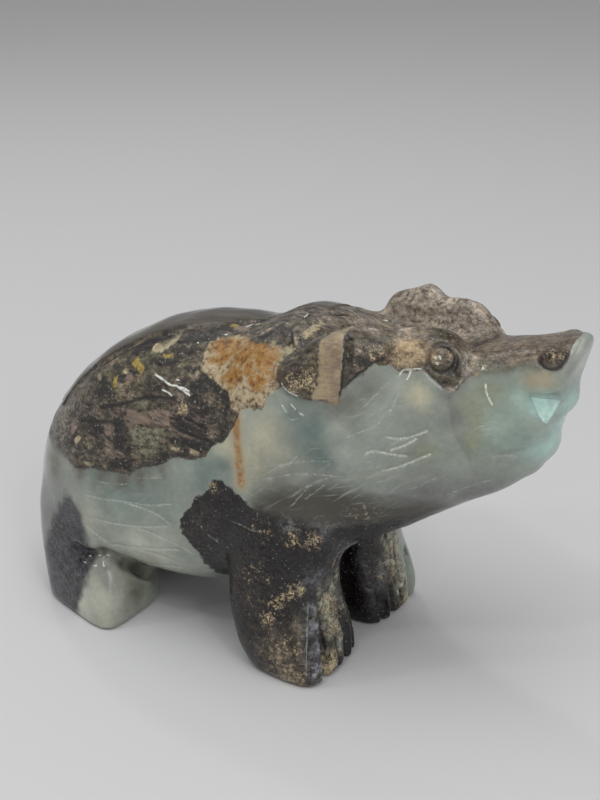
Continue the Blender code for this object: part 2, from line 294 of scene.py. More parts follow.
FUR = [
    [(-36.5, 26.6), (-31, 26.6), (-25, 27.4), (-18, 28.2), (-10.5, 30.6)],
    [(-25.5, 27.2), (-18, 26.8), (-13, 24.6)],
    [(-35, 21.6), (-27.5, 22), (-20.5, 23), (-12, 25.4)],
    [(-24, 22.3), (-18, 22), (-12.6, 20.4), (-9.8, 18.6)],
    [(-36, 20), (-33, 18.6), (-29.5, 16.4)],
    [(-31, 16.2), (-25, 17), (-18, 18.6), (-10.6, 20)],
    [(-24, 16.8), (-18.6, 16.8), (-13.6, 15.6)],
    [(-27.3, 10.9), (-20.5, 13.1), (-12.8, 15)],
]  # x and z of the crossing strokes of fur on the flank
CHEEK = [
    [(25.8, 49.2), (28.8, 48.8), (31.7, 49.7), (33.9, 51.2)],
    [(26.8, 46.2), (29.9, 47.8), (31.9, 49.3)],
    [(22.7, 45.1), (24.8, 46.2), (27.4, 45.8), (30.8, 45.4)],
    [(24.8, 42.1), (28.4, 43.3), (31.6, 45), (34.6, 46.7)],
]  # x and z of the deep cuts in the cheek
NECK = [
    [(3.6, 37.7), (8.6, 39.5), (13.3, 40.9), (21.2, 41.1)],
    [(9.8, 32.9), (14.5, 38.9), (17, 40.4), (20.6, 41.4)],
    [(12.6, 35.2), (17.4, 39.8)],
    [(31.1, 39.5), (34.8, 41.9)],
    [(34.1, 36.9), (39.2, 40.1), (44.1, 42.3)],
    [(-2.5, 28.6), (2.9, 28.1), (6.1, 28.6)],
]  # x and z of the shallow scratches on the neck and chest
FINE = [
    [(27.3, 59.4), (22.6, 53.4)], [(28.6, 57.4), (27.2, 53.2)], [(10.4, 42.3), (12.8, 44.6)],
    [(8.8, 41.4), (11.4, 42.6)], [(0.1, 39.1), (12.7, 43.1), (19.5, 43.9)],
    [(10.6, 35.4), (12.4, 37.6), (17.8, 40.7)], [(19.6, 48), (24.4, 50.6), (26.7, 52.2)],
    [(40.8, 52.3), (44.3, 53.2)], [(40.9, 51.2), (44, 52)], [(41.2, 50.2), (43.1, 50.8)],
    [(42.5, 46.2), (45.2, 46.9), (47.4, 46.8)], [(10.3, 51.2), (11.4, 50.6), (12.8, 51.4)],
    [(-6.9, 24.9), (-4.1, 22.7)], [(-36, 30), (-29, 30.2), (-22, 31.4)], [(-22, 32.6), (-14.5, 34.6)],
]  # x and z of the frosted nicks in the polish
STROKES = (
    (FUR, 0.85, 0.12, 0.68), (CHEEK, 1.15, 0.22, 0.78), (NECK, 0.8, 0.08, 0.6), (FINE, 0.75, 0.06, 0.62),
)  # lines, and the width, depth and chalk of their grooves
HIDDEN_SHIFT = 0.8  # how far strokes lie higher or lower on the hidden side


def carve_strokes(skin, side, rng):
    for lines, width, depth, chalk_and_glint in STROKES:
        for line in lines:
            lower = rng.uniform(-HIDDEN_SHIFT, HIDDEN_SHIFT) if side == FAR else 0.0
            path = [skin.on_side(x, z + lower, side) for x, z in line]
            groove(skin, AS_GIVEN, path, width, depth, chalk_and_glint)


def carve_ear(skin, side):
    rim = [
        (4.7, 8.7, 62.7), (6.5, 11.2, 61.8), (7.9, 12.9, 61), (6.9, 14.3, 60.3), (6.2, 15.8, 59.2),
        (6.2, 17.1, 57.9), (7, 18.2, 56.8), (9, 20.5, 56.6), (11.8, 21, 55.6), (14.9, 20.7, 55),
        (18.4, 19.4, 55.4),
    ]
    # the steps and the notch get painted shade beside them
    ledge(skin, side, rim, 1.15, 2.6)
    notch = [(7.9, 12.9, 61), (9.4, 14.2, 60.7), (12, 17.4, 61.6), (14.1, 19.3, 63.3), (15.7, 19.4, 63.5)]
    groove(skin, side, notch, 1.0, 0.35, painted_shade=0.8)
    front = [(19.2, 16.6, 66.6), (20, 18.1, 64), (20.2, 19, 60.9), (20, 19, 57.7), (19.4, 18.6, 55.5)]
    ledge(skin, side, front, 0.28, 2.0, -1)
    ridge(skin, side, front, 0.9, 0.10, chalk_and_glint=0.55)
    cheek = [(19.6, 18.8, 56.6), (21.6, 18, 58.9), (22.8, 16.7, 60.3), (24.1, 15.6, 61.9), (26.2, 14.1, 62.9)]
    ledge(skin, side, cheek, 0.35, 1.8)
    # painted highlights along the ear's lower rim and on the neck below it
    for line in (
        [(9.4, 20.4, 57.8), (10, 20.8, 56.7), (11.4, 21, 56), (13.6, 21, 55.4)],
        [(9.3, 19.8, 53.2), (10.4, 19.9, 51.6)], [(11, 20, 54), (12.2, 19.7, 52.4)],
        [(12.4, 19.7, 52.2), (13.6, 19.6, 51.7)], [(20.2, 19, 56.9), (20.3, 18.8, 56.4)],
    ):
        glint_ridge(skin, side, line, 0.75, 0.12)


def carve_eye(skin, side):
    """A dome in a hollow, with painted highlights on it, a crescent groove in front of it darkened with
    painted shade, a lid, a pale rim and the cuts behind it.
    """
    radius = 2.15
    centre = skin.drop((34.2, 10.6 * side, 62.7))
    dent(skin, centre, 3.0, 0.6)
    indices, away = skin.disc(centre, radius)
    skin.push(indices, 1.2 * np.sqrt(np.clip(1.0 - away ** 2, 0.0, 1.0)))
    add_amount(skin, "gloss", indices, ramp(1.0 - away, 0.0, 0.4))
    skin.settle()
    # a ring of painted shade round the dome
    indices, away = skin.disc(centre, radius, 1.4)
    socket = ramp(0.35 - abs(away - 1.05), 0.0, 0.35)
    skin.push(indices, -0.2 * socket)
    add_amount(skin, "painted_shade", indices, 0.6 * socket)
    crescent = [(35.6, 8.6, 64.4), (36.4, 9.2, 62.8), (36.2, 9.8, 60.9), (35, 11, 59.9)]
    groove(skin, side, crescent, 1.2, 0.35, painted_shade=1.0, taper=0.3)
    lid = [(31.6, 12, 61.2), (32.9, 11.7, 59.8), (34.2, 11.6, 58.8), (35.6, 11.4, 57.8)]
    groove(skin, side, lid, 0.7, 0.3, painted_shade=0.6)
    rim = [(36.6, 7.3, 64.8), (37.6, 8, 62.6), (37.9, 9.3, 60.2), (37.1, 10.6, 58.4), (36, 11.5, 57.2)]
    ridge(skin, side, rim, 1.3, 0.3, chalk_and_glint=0.55, gloss=0.6)
    glints(skin, side, 11.8, ((33.4, 63.5), (34.2, 63.6), (33.7, 62.5)), 0.4, 0.8, 0.1)
    for line in (
        [(27.9, 13.9, 59.2), (28.7, 13.5, 60.6), (30, 13, 60.8), (31.8, 12, 61.1)],
        [(29.3, 13.4, 58.9), (29.9, 13, 60.5)],
    ):
        groove(skin, side, line, 0.7, 0.2, chalk_and_glint=0.95, taper=0.08)
    dent(skin, (30.6, 12.7 * side, 59.8), 1.6, 0.3)


def carve_nostril(skin, side):
    centre = skin.drop((51.4, 5.8 * side, 64.9))
    dent(skin, centre, 2.8, -0.5)
    dent(skin, centre + [0.3, 0.0, -0.1], 0.9, 0.5)
    rim = [
        (49.2, 5.6, 65.4), (49.5, 6.4, 63.6), (50.9, 6.7, 62.8), (52.6, 6.2, 63), (53.5, 5.3, 64.4),
        (53, 4.4, 66),
    ]
    # painted shade in the groove round the nostril
    groove(skin, side, rim, 1.1, 0.35, painted_shade=0.9)
    # painted highlights on the nostril
    glints(skin, side, 6.0, ((50.9, 65.4), (51.5, 64), (52.2, 65)), 0.3, 0.7, 0.15)
    # a groove along the nose tip's edge, its pale line a painted highlight
    tip = [(54, 4.6, 62.8), (54.6, 4.3, 64.6), (54.9, 3.2, 66.3), (54.5, 1.2, 67.2)]
    groove(skin, side, tip, 0.9, 0.22, chalk_and_glint=0.42)
    # a painted highlight on the snout
    glint_ridge(skin, side, [(40.2, 7.8, 62), (40.7, 8.5, 60.9)], 0.7, 0.15)


def carve_mouth(skin, side):
    """Trues up the flat cut beside the lips and its level roof, then the lines of the lips and the cheek."""
    place = np.array((46.6, 7.5 * side, 58.3))
    outward = np.array((0.557, 0.799 * side, 0.227))
    points = skin.points
    out = (points - place) @ outward
    facing = skin.normals @ outward > 0.1
    near_cut = facing & (abs(out) < 1.4) & (points[:, 1] * side > 2.6)
    moved = near_cut * ramp(inside_depth(points[:, [0, 2]], FACET), -0.3, 0.1) * (out + 0.4)
    skin.points = points - moved[:, None] * outward
    add_amount(skin, "gloss", near_cut, ramp(skin.fields["facet"], 0.0, 0.2)[near_cut])
    roof = [(47.6, 7.3, 58), (49.2, 6.6, 58), (51, 5.6, 57.7), (53.2, 3.9, 57.2)]
    groove(skin, side, roof, 1.0, 0.45)
    lip = [(43, 8.7, 46.5), (46.7, 7.7, 47.8), (48.9, 6.2, 48.4), (50.6, 3.9, 48.4)]
    groove(skin, side, lip, 1.0, 0.35)
    crease = [
        (35.8, 11.4, 57.5), (36.4, 11.4, 54.4), (37.1, 10.9, 50.3), (38.5, 10.2, 47.3), (39.9, 9.3, 44.4),
    ]
    groove(skin, side, crease, 2.8, 0.5)
    # painted shade in the crease
    groove(skin, side, crease, 1.1, 0.25, painted_shade=0.8)
    groove(skin, side, [(x + 1.0, y, z) for x, y, z in crease[1:]], 0.8, 0.08, chalk_and_glint=0.62)
    # a white arc on the cheek: a painted highlight
    groove(skin, side, [(41.4, 9.1, 59.8), (42, 9.5, 57.5), (43.3, 9.3, 55.4)], 0.7, 0.12, chalk_and_glint=1.0)


TOES = {
    NEAR: [
        (1.2, 0.9, (14.6, 16.2, 16), (15.2, 16.4, 11.5), (15.8, 17, 7.9), (16.8, 18, 4.4), (17.1, 18.2, 0.4)),
        (1.0, 0.5, (16.4, 13.8, 7.4), (17, 13.5, 5), (17.2, 12.6, 0.4)),
        (1.1, 0.3, (15.6, 9.2, 9.2), (16.1, 8.9, 7.3), (17.1, 8.7, 3.7), (17.3, 8.5, 0.4)),
    ],
    FAR: [
        (1.2, 0.8, (14.6, 13.8, 14.6), (15.7, 13.4, 10.3), (17.1, 12.6, 5.1), (17.3, 12.4, 0.4)),
        (1.3, 0.6, (15.4, 18.4, 11.4), (15.7, 18.9, 9)),
        (1.0, 0.6, (16.2, 6.9, 4.7), (16.8, 7.1, 2.5), (17, 7, 0.4)),
    ],
}  # width and depth of each groove between the toes, and its places


def carve_paws(skin, side):
    # the grooves between the toes and round the arm are darkened with painted shade
    for width, depth, *line in TOES[side]:
        groove(skin, side, line, width, depth, painted_shade=0.8, taper=0.1)
    arm = [(19.6, 8.3, 25.4), (16.8, 9.8, 23.4), (15.4, 10.9, 20.8), (14.8, 10.4, 17.4), (14.8, 9.9, 15.2)]
    groove(skin, side, arm, 1.6, 0.7, painted_shade=0.8)
    if side == NEAR:
        for y, z in ((14.9, 8.6), (11.4, 6.4)):
            dent(skin, (16.4, -y, z), 1.7, -0.35)
        outer_edge = [(14, 18.6, 16.6), (14.2, 19.4, 13), (14.6, 20.8, 8), (15.2, 21.8, 1.6)]
        ridge(skin, side, outer_edge, 0.8, 0.2, chalk_and_glint=0.6, taper=0.1)
        inner_edge = [(14.6, 17, 16.6), (15.4, 17.6, 10.6), (16.4, 18.9, 5.6), (17, 19.6, 1.2)]
        ridge(skin, side, inner_edge, 0.8, 0.25, chalk_and_glint=0.45, taper=0.1)


def carve_flank(skin, side):
    crease = [
        (-40.5, 20.6, 14.8), (-37, 20.4, 14), (-34.9, 20, 13.4), (-31, 19.6, 14.2), (-28.4, 17.6, 12.4),
        (-27.4, 13, 8.6), (-27.2, 9, 5.6),
    ]
    # the crease under the overhanging flank is darkened with painted shadow
    groove(skin, side, crease, 2.6, 0.95, painted_shade=0.5, taper=0.12)
    groove(skin, side, crease[:4], 1.8, 0.2, painted_shade=1.0)


def carve_head_top(skin):
    # the grooves on the head are darkened with painted shade
    for side in (NEAR, FAR):
        crest = [(12, 14.2, 65.6), (17.5, 13.6, 66.6), (22, 12, 65.8), (28, 9.9, 66.4), (33, 7.6, 66.6)]
        ridge(skin, side, crest, 1.2, 0.3, chalk_and_glint=0.4)
        inner = [(14, 11.6, 62.8), (20, 10, 62.6), (27, 7.2, 64.2), (33, 5, 64.6)]
        groove(skin, side, inner, 1.8, 0.2, painted_shade=0.15)
    crossing = [(36.6, -5.4, 63.4), (36.3, -1.7, 62.8), (37.2, 1.4, 63), (38.1, 4.8, 63)]
    groove(skin, AS_GIVEN, crossing, 1.5, 0.4, painted_shade=0.6)
    groove(skin, AS_GIVEN, [(7.2, -0.2, 63.3), (8.4, 1.8, 62.9), (9.9, 4.4, 62.3)], 1.0, 0.5, painted_shade=1.0)
    nape = [(10, -3.3, 62.4), (11.3, 0.6, 61.8), (12.7, 4.5, 61), (14.6, 7.9, 59.8)]
    ridge(skin, AS_GIVEN, nape, 1.0, 0.25, chalk_and_glint=0.35)


GLINT_RIDGES = [
    (
        1.1, (-20.3, -15.7, 52), (-17.9, -16.3, 51.5), (-15.8, -16.8, 50.9), (-13.5, -17, 51),
        (-10.7, -17.3, 50.5),
    ),
    (1.0, (-14.4, -16.9, 50.9), (-12.6, -17.1, 50.4), (-10.7, -17.5, 49.8)),
    (0.9, (-17.4, -17.3, 49.9), (-15.6, -17.5, 49.6), (-14.6, -17.7, 49)),
    (1.0, (-6.9, -5.4, 59.7), (-6.1, -3.6, 60)), (0.9, (4.9, -4.8, 63.2), (4.5, -2.5, 63.5)),
    (1.2, (-9.6, -8.4, 58.8), (-8.9, -7.9, 59)), (0.9, (13.2, 9.6, 60.1), (14, 10.3, 59.8)),
    (0.9, (-14.8, -16.3, 51.9), (-14, -16.3, 51.9)), (0.9, (-13.9, -10.8, 57.4), (-13.2, -10.8, 57.4)),
    (0.9, (-10.4, -9.4, 58.4), (-9.8, -9.4, 58.4)),
]  # width and places of the glossy ridges that stand out of the crust, painted white as highlights
SPLITS = [
    [(-36, -12, 48.8), (-30, -11, 52.8), (-25, -10.2, 55.6), (-18.8, -9.2, 57.6)],
    [(-33, -18, 43.4), (-26, -18, 45.6), (-20, -17.9, 48), (-13.6, -17.9, 49)],
    [(-36.4, -17.4, 40), (-30, -18.6, 41.6), (-23.4, -19.5, 42.4)],
    [(-14.4, -19.4, 44.2), (-9, -19.6, 43.4), (-3.6, -19.8, 43)],
    [(-12, -19, 46.4), (-7, -19.4, 45.2)],
]


def carve_back(skin):
    # ridges painted white as highlights, the streak on the back among them
    for width, *line in GLINT_RIDGES:
        glint_ridge(skin, AS_GIVEN, line, width, 0.25, 0.08)
    # the splits are darkened with painted shade
    for line in SPLITS:
        groove(skin, AS_GIVEN, line, 1.0, 0.3, painted_shade=1.0)


def carve_steps(skin):
    """The smooth strip along the back stands above the crust, and the crust above the clear stone."""
    band, crust, x = skin.fields["band"], skin.fields["crust"], skin.points[:, 0]
    beside_band = ramp(band, -4.0, -0.1) * (band < 0.0) * (crust > 0.0)
    below_crust = ramp(crust, -2.4, -0.05) * (crust < 0.0) * ramp(-8.0 - x, 0.0, 4.0) * ramp(x, -40.0, -35.0)
    skin.push(np.arange(len(x)), -0.30 * beside_band - 0.38 * below_crust)


def weather(skin):
    """The unevenness of hand polishing, and the pits of the crust."""
    points, fields = skin.points, skin.fields
    everywhere = np.arange(len(points))
    skin.push(everywhere, 0.10 * hills(points, 6.0) + 0.035 * hills(points, 2.2, 1, 7.0))
    layered = points * (0.5, 1.0, 1.3)
    pits = ramp(hills(layered, 1.2, 2, 40.0), 0.30, 0.72)
    skin.push(everywhere, fields["rough"] * (0.10 * hills(layered, 1.1, 3, 20.0) - 0.22 * pits))


# Where each kind of stone lies, as x and z

CRUST_EDGE = [
    (-58, 33.5), (-46.2, 33.2), (-40.4, 32.6), (-36.2, 31.3), (-31, 32.4), (-26, 32.9), (-23, 33),
    (-21.4, 34.6), (-17, 36), (-13.6, 38.6), (-10.4, 39), (-6.3, 39.9), (-5, 42.4), (-2.2, 44.1), (0, 47.5),
    (1, 50.6), (5.4, 51), (6.6, 54.4), (9, 56.4), (11.8, 55.4), (14.9, 54.9), (15.2, 54.2), (19.2, 54.2),
    (20.2, 57.3), (21.6, 58.9), (22.8, 60.3), (24.4, 61.8), (27.3, 61.2), (28.4, 60.5), (31.6, 61),
    (33, 59.8), (34.4, 58.8), (35.8, 57.6), (37.4, 58.2), (39, 60.2), (41, 61), (43.9, 61.5), (47.8, 62.8),
    (49.6, 62.4), (53.2, 62.6), (53.9, 65.5), (54, 69),
]  # its lower edge
CROWN_HALF_WIDTH = 11.5  # between the ears the crust reaches this far to each side, whatever its edge says
BLACK_TOP = [
    (-13.4, 21), (-12.3, 25.5), (-11, 28.4), (-9.7, 29.2), (-8, 32.6), (-5.8, 33.4), (-4.6, 36.4), (-3, 36.6),
    (-1.4, 35.4), (1.1, 33.7), (3.7, 32.2), (7.1, 32), (11.5, 32), (15.7, 31.3), (24, 33), (32, 34), (60, 34),
]  # its upper edge
BLACK_BACK = [(0, -9), (12.6, -8.5), (14.7, -8.8), (19.3, -9.2), (22.5, -11.3), (26.2, -12.2), (40, -13)]
# the black stone's rear edge, as z and x
BLACK_HALF_WIDTH = 15.5  # on the hidden side the black stone ends this far from the middle
DUSK_TOP = [
    (-1, 34), (2.9, 36.7), (8.9, 39.4), (14.4, 41), (19.3, 40.4), (23.8, 39), (28.2, 38.4), (32.3, 37.4),
    (60, 36),
]
RUST = [
    (-10.6, 54.4), (-11.4, 57.6), (-9.6, 58.6), (-5.2, 59.4), (3.2, 60.9), (6.4, 60.6), (7.2, 58.2),
    (7.6, 54.6), (6.4, 51.6), (2.6, 50.6), (0.6, 49.8), (-1.2, 50.2), (-2.5, 52.5), (-7.1, 53.2),
]
VEIN = [
    (-0.6, 54.5), (-0.3, 50.5), (0.2, 47.6), (0.3, 44.8), (0.7, 42.4), (0.8, 40.4), (1.1, 38.6), (1.1, 36.6),
]
EAR_BAND = [
    (15.2, 67.5), (16, 63.4), (16.5, 60.9), (16.4, 58.2), (15.4, 56.4), (15.6, 53.2), (19.2, 53.6),
    (19.6, 55.8), (20, 57.7), (20.2, 60.9), (20, 64), (19.2, 67.5),
]
FACET = [(48.5, 57.6), (52.8, 56.7), (50.8, 52.7)]
HIND_DARK = [
    (-39.4, 25.2), (-37.4, 24.8), (-36, 22.6), (-35, 21.4), (-35.2, 18.4), (-34, 15.6), (-32.9, 11.8),
    (-33.7, 8.9), (-35.1, 5), (-37.6, -2), (-60, -2), (-60, 5), (-49, 7), (-47.5, 12), (-44.4, 18),
    (-42.2, 21.6),
]
BAND_EDGE = [(-46, -13), (-36.6, -10.2), (-31.4, -9.2), (-26.1, -8.2), (-19.8, -7.4), (-12, -4.6), (-2, 3)]
# the smooth strip's edge, as x and y

# Straight-edged pieces in the crust: x and z of both ends, and half the width

INK = [
    (-25.8, 43.4, -25.2, 37.6, 1), (-27.4, 34.5, -22.4, 35.2, 1), (-27.6, 53.9, -23.6, 56, 0.9),
    (-17.4, 58, -11, 58.6, 0.9), (-10, 54, -5.4, 51.6, 0.7), (-13.4, 45.4, -6.4, 44.4, 0.8),
    (-11.4, 42, -4.8, 42.2, 0.7), (-4, 51.4, -1.6, 50.6, 0.8), (-33.6, 46.4, -29.2, 47, 0.7),
    (-10.4, 50, -6.6, 48.6, 0.8), (-33.8, 40.6, -30, 40.8, 0.8), (21, 62.8, 23.6, 61.4, 0.7),
    (-22, 53.6, -16, 54, 0.7),
]
CREAM = [
    (-22.9, 55.2, -20, 55.7, 0.55), (-20.3, 55.9, -18.4, 57.5, 0.45), (-9.6, 40.6, -7.6, 40.4, 0.4),
    (-13.7, 40.2, -11.8, 40.5, 0.2), (-33.9, 32.9, -32, 33.2, 0.4), (-28.9, 33.4, -28.2, 33.6, 0.35),
    (6.2, 61.4, 7.8, 60.4, 0.8), (7.4, 62.6, 8.8, 62.2, 0.4), (-36.6, 36.2, -35.4, 37.6, 0.5),
    (-27.6, 51.2, -26.4, 51, 0.4), (-11.2, 53.6, -10.4, 53.6, 0.35), (-34.2, 48.6, -33, 48.2, 0.35),
    (10.2, 64.4, 11.6, 63.4, 0.4),
]
YELLOW = [(-25.9, 52.9, -22.9, 51.9, 0.6), (-29.1, 49.6, -28.5, 48, 0.5), (-19.6, 54.7, -17.4, 55, 0.22)]
PINK = [
    (-24.2, 43.9, -14.6, 45.5, 1.2), (-28.3, 42.2, -27.6, 37, 0.85), (-28.2, 36.6, -24.2, 36.9, 0.6),
    (-38.2, 38, -36.6, 40.4, 0.9), (-26.6, 50.4, -24.4, 50.2, 0.5), (-12.4, 47.6, -10.8, 47.2, 0.6),
    (-33.6, 49.8, -31.2, 51, 0.5),
]
SANDY = [(-22.6, 40.6, -15.2, 42.1, 1.5), (-23.2, 46.8, -20, 46.9, 0.8), (-21, 38.2, -16.4, 38.8, 0.6)]

# What thins out from round spots, given as x, y, z, radius and strength. Spots with y above 0 are on the
# hidden side alone

RUST_HEARTS = [
    (-7.4, -11.4, 57.4, 3.8, 0.9), (-1.2, -13.2, 58.8, 4.4, 1), (2.8, -16.4, 58.2, 4, 1),
    (-2.4, -16.4, 55.8, 3.8, 0.9), (3.7, -18.2, 55.8, 2.4, 0.9),
]
GOLD = [
    (-8, -20.4, 27, 3.4, 0.2), (14.8, -18.6, 28.2, 1.6, 0.9), (11.7, -19.9, 28.4, 1.6, 0.85),
    (12.9, -19.7, 18.6, 1.3, 0.9), (11.2, -20.8, 17.6, 1.4, 0.95), (9.4, -21.6, 15.6, 1.5, 1),
    (7.6, -22.2, 12.6, 1.5, 0.9), (10.6, -22.7, 6.6, 4.6, 0.4), (11.4, -22.7, 2.2, 3.6, 0.7),
    (15.2, -13.2, 13.4, 3.2, 0.9), (15.6, -13, 9.4, 2.6, 0.9), (17, -15.4, 2.4, 2.2, 1),
    (15.6, -8.2, 10.6, 2, 0.6), (15.4, 12.4, 11.6, 1.8, 0.9), (15.2, 14.6, 13.6, 1.6, 0.6),
    (16.6, -12, 21, 2.4, 0.45), (4.6, -20.8, 29, 3.4, 0.25), (14.6, -20.6, 58.4, 2, 0.95),
    (12.2, -20.8, 57.4, 1.8, 0.8), (12.4, -15.8, 64, 2, 0.95), (17.4, -20, 56, 1.8, 0.6),
    (29.4, -12.8, 63.8, 3, 0.9), (39.6, -8.6, 61.6, 1.4, 0.8), (52, -6, 64.8, 1.6, 0.7),
    (24.4, -15.2, 63.6, 2.2, 0.6), (4.4, -21.4, 20, 5, 0.2), (-4.6, -20.4, 34.8, 1, 0.9),
    (-11.8, -18.5, 47.6, 1.5, 0.95), (22.6, -16.6, 62.6, 2, 0.4), (21.2, -12.8, 34, 4, 0.3),
    # the spot at x 35.4 flecks the eye's dome as a painted highlight
    (35.4, -9.8, 63.2, 1.2, 0.9), (1.2, -19.9, 36.6, 1.1, 0.8), (4.6, -21, 14, 4, 0.2),
]
SCUFFED = [
    (28, -14.5, 52, 9, 0.5), (17, -18.4, 44, 5, 0.7), (10, -20, 40, 6, 0.6), (24, -15, 36, 10, 0.7),
    (40, -9.6, 50, 4, 0.8), (-20, -20.6, 26, 12, 0.15), (5, -20, 34, 5, 0.8), (6, -21, 24, 8, 0.35),
]


def height_over(points, boundary):
    """How far points lie above a boundary that is given as x and z."""
    x, z = zip(*boundary)
    return points[:, 2] - np.interp(points[:, 0], x, z)


def limited(depths):
    return np.clip(depths, -DEEPEST, DEEPEST)


def blobs(points, spots):
    """The largest depth inside any of several round spots."""
    field = np.full(len(points), OUTSIDE)
    for centre, radius in spots:
        field = np.maximum(field, radius - np.linalg.norm(points - centre, axis=1))
    return field


def bars(flat, pieces):
    """The depth inside straight-edged pieces that are given by their ends and half widths."""
    field = np.full(len(flat), OUTSIDE)
    for x1, z1, x2, z2, half in pieces:
        offset, run = flat - (x1, z1), np.array((x2 - x1, z2 - z1))
        length = np.linalg.norm(run)
        forward = offset @ run / length
        across = abs(offset @ np.array((-run[1], run[0]))) / length
        field = np.maximum(field, np.minimum(np.minimum(forward, length - forward), half - across))
    return field


def folded(points):
    """The points with the hidden side laid over the photographed one."""
    return np.where(points[:, 1:2] < 0, points, points * (1.0, -1.0, 1.0))


def density(points, spots):
    """How thickly something lies, thinning out from each of several spots."""
    field, folds = np.zeros(len(points)), folded(points)
    for *centre, radius, strength in spots:
        places = points if centre[1] > 0 else folds
        away = np.linalg.norm(places - centre, axis=1) / radius
        field = np.maximum(field, strength * np.exp(-away ** 2))
    return field


def scattered(points, count, radii, rng):
    """Random round spots centred on some of the points."""
    places = [points[rng.randrange(len(points))] for _ in range(count)]
    return [(place, rng.uniform(*radii)) for place in places]


def lay_stone(skin, rng):
    """Works out how many millimetres inside each stone a point is, and how thickly flecks lie on it."""
    points, fields = skin.points, skin.fields
    x, y, z = points.T
    near = y < 0
    flat = folded(points)[:, [0, 2]]

    def near_only(depths):
        return np.where(near, depths, ABSENT)

    wander = hills(points, 9.0, 3, 90.0) * np.where(near, 0.3, 1.8)
    crown = np.where((x > 6.0) & (x < 34.0) & (z > 57.0), CROWN_HALF_WIDTH - abs(y), -DEEPEST)
    fields["crust"] = limited(np.maximum(height_over(points, CRUST_EDGE) + wander, crown))
    ends = np.maximum(ramp(x, 36.0, 41.0), ramp(-x, 35.0, 41.0))
    fields["soft"] = np.maximum(ends, ramp(x, 1.0, 6.0) * (z < 45.0))
    strip_edge = np.interp(x, *zip(*BAND_EDGE))
    fields["band"] = limited(np.minimum(np.minimum(y - strip_edge, z - 40.0), 6.0 - x))
    fields["rust"] = near_only(inside_depth(flat, RUST))
    fields["rust heart"] = density(points, RUST_HEARTS) * near
    away = np.min([np.linalg.norm(flat - p, axis=1) for p in curve(VEIN, 0.4)], axis=0)
    fields["vein"] = near_only(-away)
    fields["ear band"] = near_only(inside_depth(flat, EAR_BAND))
    fields["facet"] = inside_depth(flat, FACET)
    back = x - np.interp(z, *zip(*BLACK_BACK))
    outer = np.where(near, DEEPEST, BLACK_HALF_WIDTH - y)
    black = np.minimum(np.minimum(-height_over(points, BLACK_TOP), back), outer)
    fields["black"] = limited(black - 1.6 * ramp(x, 14.0, 26.0) + wander)
    below_dusk = -height_over(points, DUSK_TOP) / 6.0
    fields["dusk"] = np.clip(below_dusk, 0.0, 1.0) * ramp(x, 0.0, 5.0) * ramp(16.0 - y, 0.0, 4.0)
    fields["hind dark"] = limited(inside_depth(flat, HIND_DARK) + wander)
    hidden = points[(y > -5.0) & (x < 4.0) & (fields["crust"] > 1.0) & (fields["band"] < 0.0)]
    for name, pieces, count, radii in (
        ("ink", INK, 16, (0.8, 2.6)), ("cream", CREAM, 12, (0.3, 1.0)), ("yellow", YELLOW, 5, (0.4, 0.9)),
        ("pink", PINK, 12, (0.7, 1.6)), ("sandy", SANDY, 8, (0.8, 2.0)),
    ):
        shapes = near_only(bars(flat, pieces))
        fields[name] = np.maximum(shapes, blobs(points, scattered(hidden, count, radii, rng)))
    thinner = np.where(near, 1.0, 0.7)
    fields["gold"] = density(points, GOLD) * thinner
    fields["scuffed"] = density(points, SCUFFED) * thinner
    for name in ("chalk_and_glint", "painted_shade", "gloss"):
        fields[name] = np.zeros(len(points))
    behind_ear = ramp(12.0 - x, 0.0, 8.0) * (0.3 + 0.7 * ramp(x, -42.0, -34.0))
    off_band = 1.0 - ramp(fields["band"], -0.3, 0.6)
    fields["broken"] = ramp(fields["crust"], -0.5, 1.0) * (0.35 + 0.65 * behind_ear) * off_band
    fields["rough"] = np.maximum(fields["broken"], 0.6 * ramp(fields["black"], -0.5, 1.0))


# The tones that lie through the stone, and some painted shade, as clouds: tone, strength, and x, y, z and
# radius of each cloud

SAGE = (0.27, 0.30, 0.26)
PALE_SAGE = (0.43, 0.44, 0.36)
MIST = (0.50, 0.47, 0.34)
MILK = (0.52, 0.54, 0.45)
SEA = (0.17, 0.23, 0.205)
DEEP_SEA = (0.10, 0.15, 0.14)
TURQUOISE = (0.42, 0.60, 0.56)
TEAL = (0.36, 0.47, 0.39)
MOSS = (0.26, 0.28, 0.18)
PEACH = (0.40, 0.33, 0.21)
SMOKE = (0.16, 0.16, 0.155)
UMBRA = (0.10, 0.09, 0.065)
FROST = (0.44, 0.46, 0.41)
SLATE = (0.22, 0.22, 0.21)
CRUST = (0.085, 0.068, 0.044)
GREY_BROWN = (0.115, 0.10, 0.08)
PLUM = (0.075, 0.055, 0.048)
OLIVE = (0.07, 0.065, 0.035)
PEWTER = (0.20, 0.165, 0.125)
SNOUT = (0.17, 0.125, 0.085)
AMBER = (0.40, 0.29, 0.18)
PALE_RIDGE = (0.33, 0.275, 0.22)
BLACK = (0.006, 0.004, 0.004)
TOE_GREY = (0.17, 0.17, 0.19)
TOE_GREEN = (0.22, 0.22, 0.16)
SAND = (0.40, 0.31, 0.19)
FLECK = (0.60, 0.50, 0.29)
DUN = (0.44, 0.37, 0.30)
TAWNY = (0.15, 0.12, 0.08)
BARK = (0.06, 0.042, 0.03)

